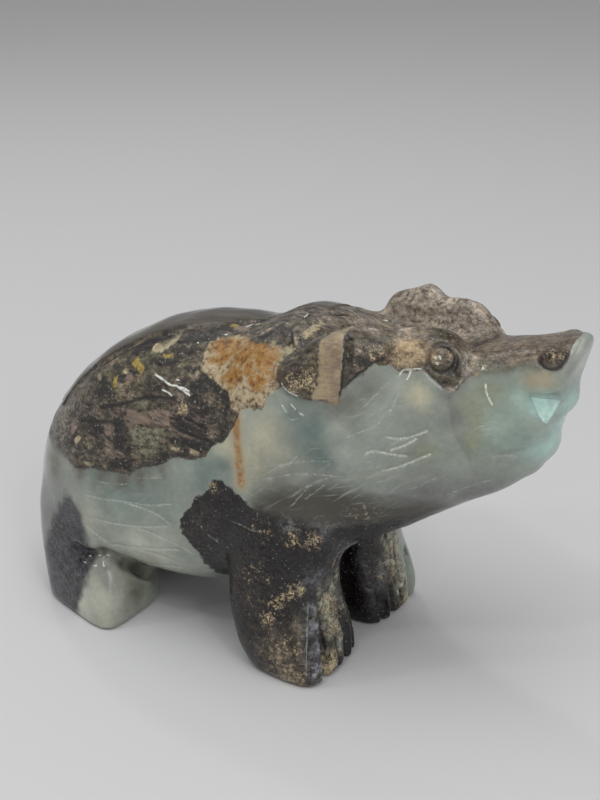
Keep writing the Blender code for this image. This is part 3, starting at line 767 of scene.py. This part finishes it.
BODY_CLOUDS = [
    (SEA, 0.8, (-24, -21, 28, 6), (-6, -20, 37, 4), (-30, -20, 32, 4)),
    (PALE_SAGE, 0.9, (-20, -19, 16, 8), (-31, -22, 6, 10), (-34, -21, 22, 4), (-46, -14, 31, 4)),
    (SLATE, 0.8, (-46, -16, 19, 7), (-44, -17, 26, 4)),
    (SEA, 0.5, (-16, -21, 29.8, 5), (-23, -21, 27, 6), (-12.7, -18.3, 17.2, 4)),
    (MILK, 0.95, (-20.5, -18, 16, 6), (-35, -21.4, 4, 4)),
    # darker stone showing through the clear stone, deepened with painted shade under the crust's overhanging
    # lower edge
    (
        UMBRA, 0.95, (-35, -20.2, 31.2, 2), (-29.7, -20.7, 31.6, 2.3), (-25, -20.9, 32, 2.3),
        (-20.3, -20.9, 33.4, 2),
    ),
    # painted shade under the crust's edge, and on the hind foot's front face, which is also darker stone
    (UMBRA, 0.85, (-15.8, -20.8, 35.6, 1.6), (-44, -17.3, 30.6, 3), (-26, -16, 5, 3), (-26, -12, 9, 3)),
    # painted shade on the hind foot's top, below the crease of the flank
    (SMOKE, 0.8, (-31, -20.7, 11.8, 2.3), (-28.7, -20.7, 9.2, 2.2), (-34, -20.2, 12.6, 1.6)),
    (MIST, 0.85, (6, -20, 46, 4.5), (4, -20, 42, 4), (-2, -20, 43, 2.5), (32, -13, 56, 1.6)),
    (DEEP_SEA, 0.85, (15, -19, 49.5, 3.6), (16, -19, 45.5, 3.2), (12, -20, 52, 2.4), (-2, -20, 39, 2)),
    (UMBRA, 0.75, (21, -18, 54, 3.4), (24, -16, 57.5, 2.4), (10, -19, 36, 5), (17, -18, 37, 4)),
    (SAGE, 0.9, (29, -14, 55, 5), (26, -16, 49, 5)),
    (FROST, 0.5, (19, -18, 50, 1.8), (20, -17.6, 46, 2), (28, -14.5, 58, 2.4)),
    (SMOKE, 0.95, (31, -10, 35, 8), (20, -14, 34, 6), (40, -6, 38, 5), (26, 0, 32, 10)),
    (MOSS, 0.9, (40, -10, 54, 2.8), (40.5, -10, 50, 2.8), (42, -9, 58, 2), (33, -12, 47, 2)),
    (TEAL, 0.95, (47, -8, 56, 3.6), (45, -9, 53, 3)),
    (SEA, 0.7, (46.5, -8, 50, 2.6), (44, -9, 49, 2)),
    (TURQUOISE, 0.95, (50.6, -6, 56, 2.6), (54, -2, 56, 3.4), (51, -3, 48, 4), (52, 0, 51, 4)),
    (PEACH, 0.9, (50.8, -7, 61.2, 1.9), (48.6, -7.6, 60.8, 1.6)),
    (FROST, 0.95, (55, -3, 65, 2.6), (54.5, 0, 62, 2.6), (55, 3, 65, 2.6)),
    (SMOKE, 0.7, (37, -11.4, 57.6, 2), (36.6, -11, 53, 1.6)),
    (MIST, 0.95, (31.6, -13, 56, 2)),
    (SLATE, 0.8, (33.7, -7.7, 35.1, 4)),
    # painted shade along the crease under the flank
    (UMBRA, 0.8, (-37, -20.4, 14, 1.8), (-34, -20, 13.8, 1.8), (-31, -19.6, 14.4, 1.6), (-28, -17, 12, 1.8)),
    (UMBRA, 0.8, (-27.4, -13, 8.6, 2), (-27.2, -9, 5.6, 2)),
]
DARK_CLOUDS = [
    (GREY_BROWN, 0.95, (-46, -8, 38, 9), (-44, -14, 44, 6), (-42, -18, 36, 5), (-38, -8, 46, 4)),
    (PLUM, 0.9, (-10, -18, 47, 5), (-27, -19, 40, 4), (-33, -17, 44, 3), (22.4, -16.6, 60.8, 2.4)),
    (OLIVE, 0.8, (-30, -14, 51, 4), (-22, -12, 54, 4), (-6, -10, 59, 4)),
    (PEWTER, 0.9, (6, 1, 63, 8), (12, 4, 62, 7), (-1, -8, 60.5, 3.5), (6, -9, 61.6, 3)),
    (PEWTER, 0.95, (14, 15, 62, 7)),
    (PALE_RIDGE, 0.85, (20, 14, 63, 7), (33, 6, 64, 5)),
    (DUN, 0.9, (27, 8, 65, 5), (22, -12.4, 66.4, 1.8), (28, -10, 66.6, 1.8)),
    (PALE_RIDGE, 0.8, (12, -14, 66, 1.4), (17, -13.6, 66.8, 1.6)),
    (AMBER, 0.9, (29.2, -13, 63.4, 2.6), (31.4, -12, 62.6, 1.8)),
    (SNOUT, 0.9, (44, -5, 65, 6), (50, -2, 66, 6)),
    (OLIVE, 0.95, (41, -8, 62, 2), (43.4, -7.8, 61.8, 2)),
    (BARK, 0.9, (51.4, -6, 64.6, 2.2), (9.4, -20.4, 58.4, 3), (10.4, -19, 60, 2.4)),
    (GREY_BROWN, 0.9, (34.4, -10.6, 62.6, 2.1)),
    (PALE_RIDGE, 0.9, (38, -9.4, 61, 1.3), (37.8, -8, 63.4, 1.3), (36.6, -11, 57.8, 1.2)),
]
BLACK_CLOUDS = [
    (TAWNY, 0.6, (10.6, -22.6, 6, 4.6), (11, -22.6, 2, 5), (12.6, -21, 10.4, 2)),
    (BARK, 0.2, (-8, -20, 27, 4), (4, -21, 16, 4)),
    (TOE_GREEN, 0.95, (15.2, -13.6, 13.4, 3.6), (15.4, -13.4, 9.4, 3), (14.8, -11, 16.6, 2.2)),
    (
        TOE_GREY, 0.95, (15, -18.4, 14.4, 1.5), (15.4, -18.9, 11, 1.6), (16, -19.4, 7.4, 1.6),
        (16.4, -20, 3.4, 1.6),
    ),
    (PALE_SAGE, 0.95, (17.2, -12.4, 4.8, 1.4), (16.6, 18.6, 6, 4), (15.6, 19.4, 11, 4), (12, 20.6, 10, 6)),
    (FLECK, 0.9, (17.3, -16.2, 2.4, 1.7)),
    (TOE_GREY, 0.5, (16.8, -10.6, 23, 3), (13.6, -16.4, 20, 2.4), (15.6, 8.6, 10, 2)),
    (TAWNY, 0.8, (15.4, 12.6, 12.4, 1.8), (15.6, 11, 8, 1.4)),
    (SMOKE, 0.8, (10, -20, 31.6, 1.8), (17, -17, 31.6, 2.4)),
]


def paint(points, base, clouds):
    """A colour for each point: a base tone with clouds of other tones in it."""
    colours = np.tile(base, (len(points), 1))
    for tone, strength, *spots in clouds:
        weight = density(points, [(*spot, strength) for spot in spots])
        colours += weight[:, None] * (np.array(tone) - colours)
    return colours


def lay_tones(skin):
    points = skin.points
    drift = np.stack([hills(points, 5.0, 3, 10.0 * axis) for axis in range(3)], axis=1)
    drifted = points + 1.5 * drift
    skin.tones["body"] = paint(drifted, SAGE, BODY_CLOUDS)
    crusty = paint(drifted, CRUST, DARK_CLOUDS)
    inky = paint(drifted, BLACK, BLACK_CLOUDS)
    skin.tones["dark"] = np.where((skin.fields["crust"] > -1.5)[:, None], crusty, inky)


# The stone's material

class Shade:
    """Shorthand for the nodes of one material. A value may be a number, a colour or another node's output."""

    def __init__(self, name):
        self.material = bpy.data.materials.new(name)
        self.material.use_nodes = True
        self.nodes = self.material.node_tree.nodes
        self.links = self.material.node_tree.links
        self.shader = self.nodes["Principled BSDF"]
        self.place = self.times(self.add("TexCoord", {}, "Object"), (MM, MM, MM))

    def put(self, socket, value):
        if isinstance(value, bpy.types.NodeSocket):
            self.links.new(value, socket)
        elif isinstance(value, tuple) and socket.type == "RGBA":
            socket.default_value = value + (1.0,)
        else:
            socket.default_value = value

    def add(self, kind, inputs, output=0, **settings):
        """Adds a node with its settings and some inputs, by name or number, and gives one of its outputs."""
        node = self.nodes.new("ShaderNode" + kind)
        for name, value in settings.items():
            setattr(node, name, value)
        for name, value in inputs.items():
            self.put(node.inputs[name], value)
        return node.outputs[output]

    def times(self, vector, factors):
        return self.add("VectorMath", {0: vector, 1: factors}, operation="MULTIPLY")

    def turned(self, degrees):
        """The stone's coordinates turned about Y, so that stretched noise runs aslant on the sides."""
        inputs = {"Vector": self.place, "Angle": math.radians(degrees)}
        return self.add("VectorRotate", inputs, rotation_type="Y_AXIS")

    def sum(self, a, b, clamp=False):
        return self.add("Math", {0: a, 1: b}, operation="ADD", use_clamp=clamp)

    def less(self, a, b):
        return self.add("Math", {0: a, 1: b}, operation="SUBTRACT")

    def product(self, a, b):
        return self.add("Math", {0: a, 1: b}, operation="MULTIPLY")

    def noise(self, size, detail=3.0, stretch=None, turn=0.0, warp=0.0, shift=0.0, rough=0.5):
        """Noise from 0 to 1 whose patches are about size millimetres across."""
        place = self.turned(turn) if turn else self.place
        inputs = {
            "Vector": self.times(place, stretch) if stretch else place, "W": shift, "Scale": 1.0 / size,
            "Detail": detail, "Roughness": rough, "Distortion": warp,
        }
        return self.add("TexNoise", inputs, "Fac", noise_dimensions="4D")

    def shards(self, size, warp):
        """Broken pieces about size millimetres across, as a random number for each."""
        wander = self.add("TexNoise", {"Vector": self.place, "Scale": 1.6 / size}, "Color")
        inputs = {0: wander, 1: (warp, warp, warp), 2: self.place}
        moved = self.add("VectorMath", inputs, operation="MULTIPLY_ADD")
        cells = self.add("TexVoronoi", {"Vector": moved, "Scale": 1.0 / size}, "Color")
        return self.add("SeparateColor", {0: cells})

    def field(self, name):
        return self.add("Attribute", {}, "Fac", attribute_name=name)

    def tone(self, name):
        return self.add("Attribute", {}, "Color", attribute_name=name)

    def ease(self, value, low, high, top=1.0):
        """0 below low, top above high and smooth between."""
        inputs = {"Value": value, "From Min": low, "From Max": high, "To Max": top}
        return self.add("MapRange", inputs, "Result", interpolation_type="SMOOTHSTEP")

    def mask(self, name, ragged, size, soft=0.2, shift=0.0):
        """A field's inside, with an edge that noise makes ragged by so many millimetres."""
        wander = self.less(self.noise(size, 4.0, shift=shift), 0.5)
        return self.ease(self.sum(self.field(name), self.product(wander, 2.0 * ragged)), -soft, soft)

    def blend(self, first, second, share):
        """A number that goes from the first value to the second as the share goes from 0 to 1."""
        return self.sum(first, self.product(share, self.less(second, first)))

    def mix(self, factor, under, over, blend="MIX"):
        inputs = {"Factor": factor, 6: under, 7: over}
        return self.add("Mix", inputs, 2, data_type="RGBA", blend_type=blend)

    def vary(self, colour, value, low, high, span=0.2, strength=1.0):
        """Multiplies a colour by low to high as a value goes from a span below 0.5 to a span above it."""
        inputs = {
            "Value": value, "From Min": 0.5 - span, "From Max": 0.5 + span, "To Min": low, "To Max": high,
        }
        factor = self.add("MapRange", inputs, "Result")
        grey = self.add("CombineColor", {0: factor, 1: factor, 2: factor})
        return self.mix(strength, colour, grey, "MULTIPLY")

    def gradient(self, value, *stops):
        """Colours along a value, as (position, colour)."""
        node = self.nodes.new("ShaderNodeValToRGB")
        self.put(node.inputs["Fac"], value)
        elements = node.color_ramp.elements
        while len(elements) < len(stops):
            elements.new(0.5)
        for element, (position, colour) in zip(elements, stops):
            element.position = position
            element.color = colour + (1.0,)
        return node.outputs["Color"]


CHALK = (0.60, 0.63, 0.56)
GLINT = (0.92, 0.92, 0.86)
ORANGE = (0.30, 0.12, 0.012)
OCHRE = (0.36, 0.20, 0.05)
UMBER = (0.11, 0.06, 0.025)
TAN = (0.22, 0.155, 0.09)
INK_TONE = (0.012, 0.010, 0.010)
CREAM_TONE = (0.50, 0.42, 0.27)
YELLOW_TONE = (0.46, 0.34, 0.08)
PINK_TONE = (0.22, 0.16, 0.12)
SANDY_TONE = (0.19, 0.18, 0.12)
BAND_TONES = ((0.34, (0.03, 0.024, 0.016)), (0.5, (0.065, 0.052, 0.038)), (0.66, (0.115, 0.095, 0.07)))
HIND_TONE = (0.045, 0.043, 0.048)
FACET_TONE = (0.50, 0.70, 0.64)
DUSK_TONE = (0.055, 0.050, 0.036)
VIOLET = (0.055, 0.036, 0.038)


def clear_stone(s):
    """The translucent body of the stone, with clouds, milky veils and the scuffs of its polish."""
    colour = s.vary(s.tone("body"), s.noise(7.0, 4.0, warp=0.5, shift=1.0), 0.82, 1.16)
    colour = s.vary(colour, s.noise(0.9, 5.0, shift=5.0, rough=0.65), 0.90, 1.10)
    veil = s.noise(4.0, 5.0, stretch=(0.6, 1.0, 1.3), turn=35.0, warp=0.8, shift=2.0)
    colour = s.mix(s.ease(veil, 0.50, 0.78, 0.28), colour, PALE_SAGE)
    colour = s.mix(s.ease(s.field("vein"), -2.8, -0.2, 0.6), colour, CREAM_TONE)
    breaks = s.ease(s.noise(1.3, 4.0, shift=24.0), 0.22, 0.42)
    core = s.product(breaks, s.ease(s.field("vein"), -1.3, -0.2, 0.92))
    vein = s.gradient(s.noise(1.6, 6.0, shift=25.0, rough=0.6), (0.44, ORANGE), (0.56, OCHRE), (0.66, SAND))
    colour = s.mix(core, colour, vein)
    streaks = s.noise(2.4, 5.0, stretch=(0.25, 1.0, 1.0), turn=-12.0, shift=20.0)
    dusk = s.sum(s.field("dusk"), s.product(streaks, 0.9))
    dusk = s.product(s.ease(dusk, 0.45, 1.25, 0.93), s.ease(s.field("dusk"), 0.0, 0.15))
    colour = s.mix(dusk, colour, DUSK_TONE)
    for turn, shift in ((38.0, 40.0), (14.0, 43.0)):
        scuffs = s.noise(0.6, 2.0, stretch=(0.05, 0.5, 1.2), turn=turn, shift=shift)
        colour = s.mix(s.product(s.ease(scuffs, 0.60, 0.76, 0.55), s.field("scuffed")), colour, CHALK)
    facet = s.vary(FACET_TONE, s.noise(1.0, 4.0, shift=26.0), 0.8, 1.2)
    return s.mix(s.ease(s.field("facet"), -0.05, 0.15), colour, facet)


def flecked(s, colour):
    """Mottles of tan that thicken into gold where the field says so."""
    here = s.field("gold")
    amount = s.sum(s.product(here, 0.17), s.noise(1.0, 7.0, shift=12.0, rough=0.72))
    grains_and_glints = s.ease(s.noise(0.35, 4.0, shift=57.0, rough=0.6), 0.42, 0.56)
    grains_and_glints = s.product(s.ease(here, 0.06, 0.22), grains_and_glints)
    colour = s.mix(s.product(s.ease(amount, 0.55, 0.64, 0.9), grains_and_glints), colour, SAND)
    return s.mix(s.product(s.ease(amount, 0.64, 0.72), grains_and_glints), colour, FLECK)


def rusty_stone(s):
    """Crumbly orange stone in a tan border."""
    crumbs = s.noise(1.5, 9.0, shift=33.0, rough=0.74)
    heart = s.gradient(crumbs, (0.41, UMBER), (0.455, ORANGE), (0.53, OCHRE), (0.60, SAND))
    crumbs = s.noise(1.2, 9.0, shift=34.0, rough=0.74)
    border = s.gradient(crumbs, (0.41, UMBER), (0.44, TAN), (0.48, SAND), (0.55, CREAM_TONE))
    spread = s.sum(s.field("rust heart"), s.noise(2.4, 6.0, shift=35.0, rough=0.6))
    return s.mix(s.ease(spread, 0.78, 1.14), border, heart)


def crust_stone(s):
    """The dark crust, broken and healed again, with paler pieces and black ones."""
    broken = s.field("broken")
    colour = s.vary(s.tone("dark"), s.noise(3.4, 5.0, stretch=(0.7, 1.0, 1.2), shift=6.0), 0.55, 1.5)
    colour = s.vary(colour, s.shards(1.6, 1.4), 0.7, 1.35, strength=broken)
    grain = s.noise(0.8, 10.0, stretch=(0.6, 1.0, 1.15), shift=7.0, rough=0.8)
    colour = s.mix(broken, s.vary(colour, grain, 0.25, 1.8, 0.11), s.vary(colour, grain, 0.0, 2.2, 0.1))
    pits = s.ease(s.noise(0.8, 7.0, shift=8.5, rough=0.75), 0.54, 0.59, 0.8)
    colour = s.mix(s.product(pits, s.field("rough")), colour, INK_TONE)
    black_bits = s.noise(2.6, 6.0, stretch=(0.6, 1.0, 1.2), warp=0.5, shift=8.0, rough=0.6)
    colour = s.mix(s.product(s.ease(black_bits, 0.52, 0.60, 0.85), broken), colour, INK_TONE)
    sandy = s.product(s.mask("sandy", 0.9, 1.2, 0.5, 10.0), 0.7)
    colour = s.mix(sandy, colour, s.vary(SANDY_TONE, grain, 0.1, 2.0, 0.1))
    stripes = s.noise(0.9, 7.0, stretch=(0.16, 1.0, 1.0), turn=-7.0, shift=9.0, rough=0.7)
    pink = s.product(s.mask("pink", 0.6, 1.0, 0.25, 9.0), s.ease(stripes, 0.36, 0.5, 0.9))
    colour = s.mix(pink, colour, s.vary(PINK_TONE, stripes, 0.3, 1.5, 0.12))
    colour = s.mix(s.product(s.mask("ink", 1.3, 1.0, 0.3, 11.0), 0.8), colour, INK_TONE)
    # pale specks over the crust: painted highlights, as a sparkle
    grains_and_glints = s.ease(s.noise(0.5, 5.0, shift=3.0, rough=0.65), 0.60, 0.66, 0.9)
    colour = s.mix(s.product(grains_and_glints, s.sum(broken, 0.3, True)), colour, FROST)
    smooth = s.noise(2.4, 6.0, stretch=(0.2, 1.0, 1.0), shift=30.0, rough=0.6)
    colour = s.mix(s.mask("band", 0.3, 4.0, 0.3), colour, s.gradient(smooth, *BAND_TONES))
    colour = s.mix(s.mask("rust", 0.9, 1.6, 0.3), colour, rusty_stone(s))
    for name, tone, shift in (("cream", CREAM_TONE, 14.0), ("yellow", YELLOW_TONE, 15.0)):
        piece = s.vary(tone, s.noise(0.9, 8.0, shift=shift, rough=0.75), 0.2, 1.35)
        colour = s.mix(s.mask(name, 0.45, 0.9, 0.2, shift), colour, piece)
    tan = s.gradient(s.noise(2.6, 6.0, shift=36.0), (0.35, PINK_TONE), (0.62, SAND))
    return s.mix(s.mask("ear band", 0.6, 1.0, 0.25), colour, s.vary(tan, grain, 0.45, 1.35))


def black_stone(s):
    """Near-black stone with brown and grey in it, and fine pale hairs."""
    colour = s.vary(s.tone("dark"), s.noise(1.2, 9.0, shift=17.0, rough=0.78), 0.0, 2.2, 0.1)
    colour = s.vary(colour, s.shards(1.1, 1.0), 0.6, 1.4)
    violet = s.ease(s.noise(0.5, 5.0, shift=16.0, rough=0.6), 0.55, 0.64, 0.6)
    colour = s.mix(violet, colour, VIOLET)
    specks = s.ease(s.noise(0.45, 4.0, shift=19.0, rough=0.6), 0.63, 0.69, 0.55)
    colour = s.mix(specks, colour, FROST)
    hairs = s.noise(0.5, 2.0, stretch=(0.3, 0.3, 1.0), turn=50.0, shift=18.0)
    return s.mix(s.ease(hairs, 0.68, 0.80, 0.3), colour, FROST)


def hind_stone(s):
    """The dark grey stone of the hind quarters, with frosty specks."""
    colour = s.vary(HIND_TONE, s.noise(0.9, 8.0, shift=22.0, rough=0.75), 0.2, 1.9, 0.1)
    return s.mix(s.ease(s.noise(0.5, 4.0, shift=23.0, rough=0.6), 0.60, 0.68, 0.45), colour, FROST)


def stone():
    s = Shade("mottled stone")
    soft = s.field("soft")
    colour = s.mix(s.mask("hind dark", 1.4, 2.4, 1.1), clear_stone(s), hind_stone(s))
    black = s.blend(s.mask("black", 1.3, 1.6, 0.3), s.mask("black", 2.2, 3.0, 1.8), soft)
    colour = s.mix(black, colour, black_stone(s))
    crust = s.blend(s.mask("crust", 1.0, 1.5, 0.2, 2.0), s.mask("crust", 0.8, 2.0, 1.2, 2.0), soft)
    rim_shade = s.product(s.product(s.ease(s.field("crust"), 1.3, 0.2), s.field("rough")), 0.6)
    colour = s.mix(crust, colour, s.mix(rim_shade, crust_stone(s), INK_TONE))
    colour = flecked(s, colour)
    # painted shade in grooves, creases, cracks and at the feet of steps
    colour = s.mix(s.ease(s.field("painted_shade"), 0.0, 0.9, 0.85), colour, INK_TONE)
    uneven = s.product(s.less(s.noise(0.4, 5.0, shift=55.0, rough=0.65), 0.5), 1.1)
    chalk_and_glint = s.sum(s.field("chalk_and_glint"), uneven)
    # where this field is full the pale turns to the white of a painted highlight; below that it is chalky
    # stone dust
    bright = s.mix(s.ease(chalk_and_glint, 0.7, 0.95), CHALK, GLINT)
    s.put(s.shader.inputs["Base Color"], s.mix(s.ease(chalk_and_glint, 0.34, 0.95, 0.9), colour, bright))
    dull = s.sum(s.product(s.field("rough"), 0.17), s.product(s.field("chalk_and_glint"), 0.15))
    shine = s.less(1.0, s.product(s.field("gloss"), 0.6))
    s.put(s.shader.inputs["Roughness"], s.product(s.sum(dull, 0.15), shine))
    s.shader.inputs["IOR"].default_value = 1.5
    s.shader.inputs["Subsurface Weight"].default_value = 0.12
    s.shader.inputs["Subsurface Radius"].default_value = (1.0, 1.0, 0.8)
    s.shader.inputs["Subsurface Scale"].default_value = 0.0015
    relief = s.product(s.noise(0.6, 5.0, shift=50.0, rough=0.6), s.sum(s.field("rough"), 0.10))
    bump = s.add("Bump", {"Strength": 0.8, "Distance": 0.0003, "Height": relief}, "Normal")
    s.put(s.shader.inputs["Normal"], bump)
    return s.material


def thin_out(item, low, high):
    """Brings the mesh down to FACES triangles, mostly from its flat places, and keeps it in its box."""
    step = item.modifiers.new("thin out", "DECIMATE")
    step.ratio = min(1.0, FACES / (2 * len(item.data.polygons)))
    graph = bpy.context.evaluated_depsgraph_get()
    made = bpy.data.meshes.new_from_object(item.evaluated_get(graph))
    item.modifiers.clear()
    points = np.empty(len(made.vertices) * 3)
    made.vertices.foreach_get("co", points)
    made.vertices.foreach_set("co", np.clip(points.reshape(-1, 3), low, high).ravel())
    item.data = made


def build_bear():
    rng = random.Random(SEED)
    skin = Skin(fine_mesh(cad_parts["bear"]))
    polish(skin)
    lay_stone(skin, rng)
    lay_tones(skin)
    for side in (NEAR, FAR):
        for carve in (carve_ear, carve_eye, carve_nostril, carve_mouth, carve_paws, carve_flank):
            carve(skin, side)
    carve_head_top(skin)
    carve_back(skin)
    carve_steps(skin)
    skin.settle()
    for side in (NEAR, FAR):
        carve_strokes(skin, side, rng)
    weather(skin)
    skin.write()
    bear = bpy.data.objects.new("stone_bear", skin.mesh)
    bpy.context.scene.collection.objects.link(bear)
    thin_out(bear, *(np.array(corner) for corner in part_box("bear")))
    bear.data.shade_smooth()
    bear.data.materials.clear()
    bear.data.materials.append(stone())
    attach(bear, "root")
    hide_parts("bear")


# The room: a pale floor, a soft sky and a window's light, in metres and watts

FLOOR_SIZE = 8.0
SKY_STRENGTH = 0.36
PANE_SIZE, PANE_POWER = 0.06, 0.34
PANES = ((-0.48, -0.43, 0.42), (0.03, -0.40, 0.66), (0.45, -0.38, 0.52), (-0.40, 0.30, 0.60))
LAMP_TARGET = (0.0, 0.0, 0.035)
LENS, SENSOR = 63.5, 36.0  # millimetres
CAMERA_PLACE = (0.1229, -0.2105, 0.1390)
VIEW = (-0.4668, 0.8085, -0.3584)  # the direction in which the camera looks


def lay_floor():
    mesh = bpy.data.meshes.new("floor")
    half = FLOOR_SIZE / 2.0
    corners = [(-half, -half, 0), (half, -half, 0), (half, half, 0), (-half, half, 0)]
    mesh.from_pydata(corners, [], [(0, 1, 2, 3)])
    floor = bpy.data.objects.new("floor", mesh)
    bpy.context.scene.collection.objects.link(floor)
    material = bpy.data.materials.new("pale floor")
    material.use_nodes = True
    shader = material.node_tree.nodes["Principled BSDF"]
    shader.inputs["Base Color"].default_value = (0.68, 0.68, 0.69, 1.0)
    shader.inputs["Roughness"].default_value = 0.6
    mesh.materials.append(material)


def hang_lamp(name, place, size, power):
    """A square lamp that faces the bear."""
    data = bpy.data.lights.new(name, "AREA")
    data.size = size
    data.energy = power
    lamp = bpy.data.objects.new(name, data)
    lamp.location = place
    lamp.rotation_euler = (Vector(LAMP_TARGET) - Vector(place)).to_track_quat("-Z", "Y").to_euler()
    bpy.context.scene.collection.objects.link(lamp)


def light_room():
    world = bpy.data.worlds.new("soft sky")
    world.use_nodes = True
    sky = world.node_tree.nodes["Background"]
    sky.inputs["Color"].default_value = (1.0, 1.0, 1.0, 1.0)
    sky.inputs["Strength"].default_value = SKY_STRENGTH
    bpy.context.scene.world = world
    hang_lamp("ceiling", (-0.05, -0.15, 1.0), 0.9, 4.0)
    hang_lamp("fill", (0.6, -0.4, 0.35), 0.4, 1.2)
    for place in PANES:
        hang_lamp("pane", place, PANE_SIZE, PANE_POWER)


def place_camera():
    """The photograph's view, worked out from where the feet meet the shelf."""
    data = bpy.data.cameras.new("camera")
    data.sensor_width = SENSOR
    data.lens = LENS
    camera = bpy.data.objects.new("camera", data)
    camera.location = CAMERA_PLACE
    camera.rotation_euler = Vector(VIEW).to_track_quat("-Z", "Y").to_euler()
    bpy.context.scene.collection.objects.link(camera)
    bpy.context.scene.camera = camera


build_bear()
lay_floor()
light_room()
place_camera()
bpy.context.scene.view_settings.view_transform = "Standard"
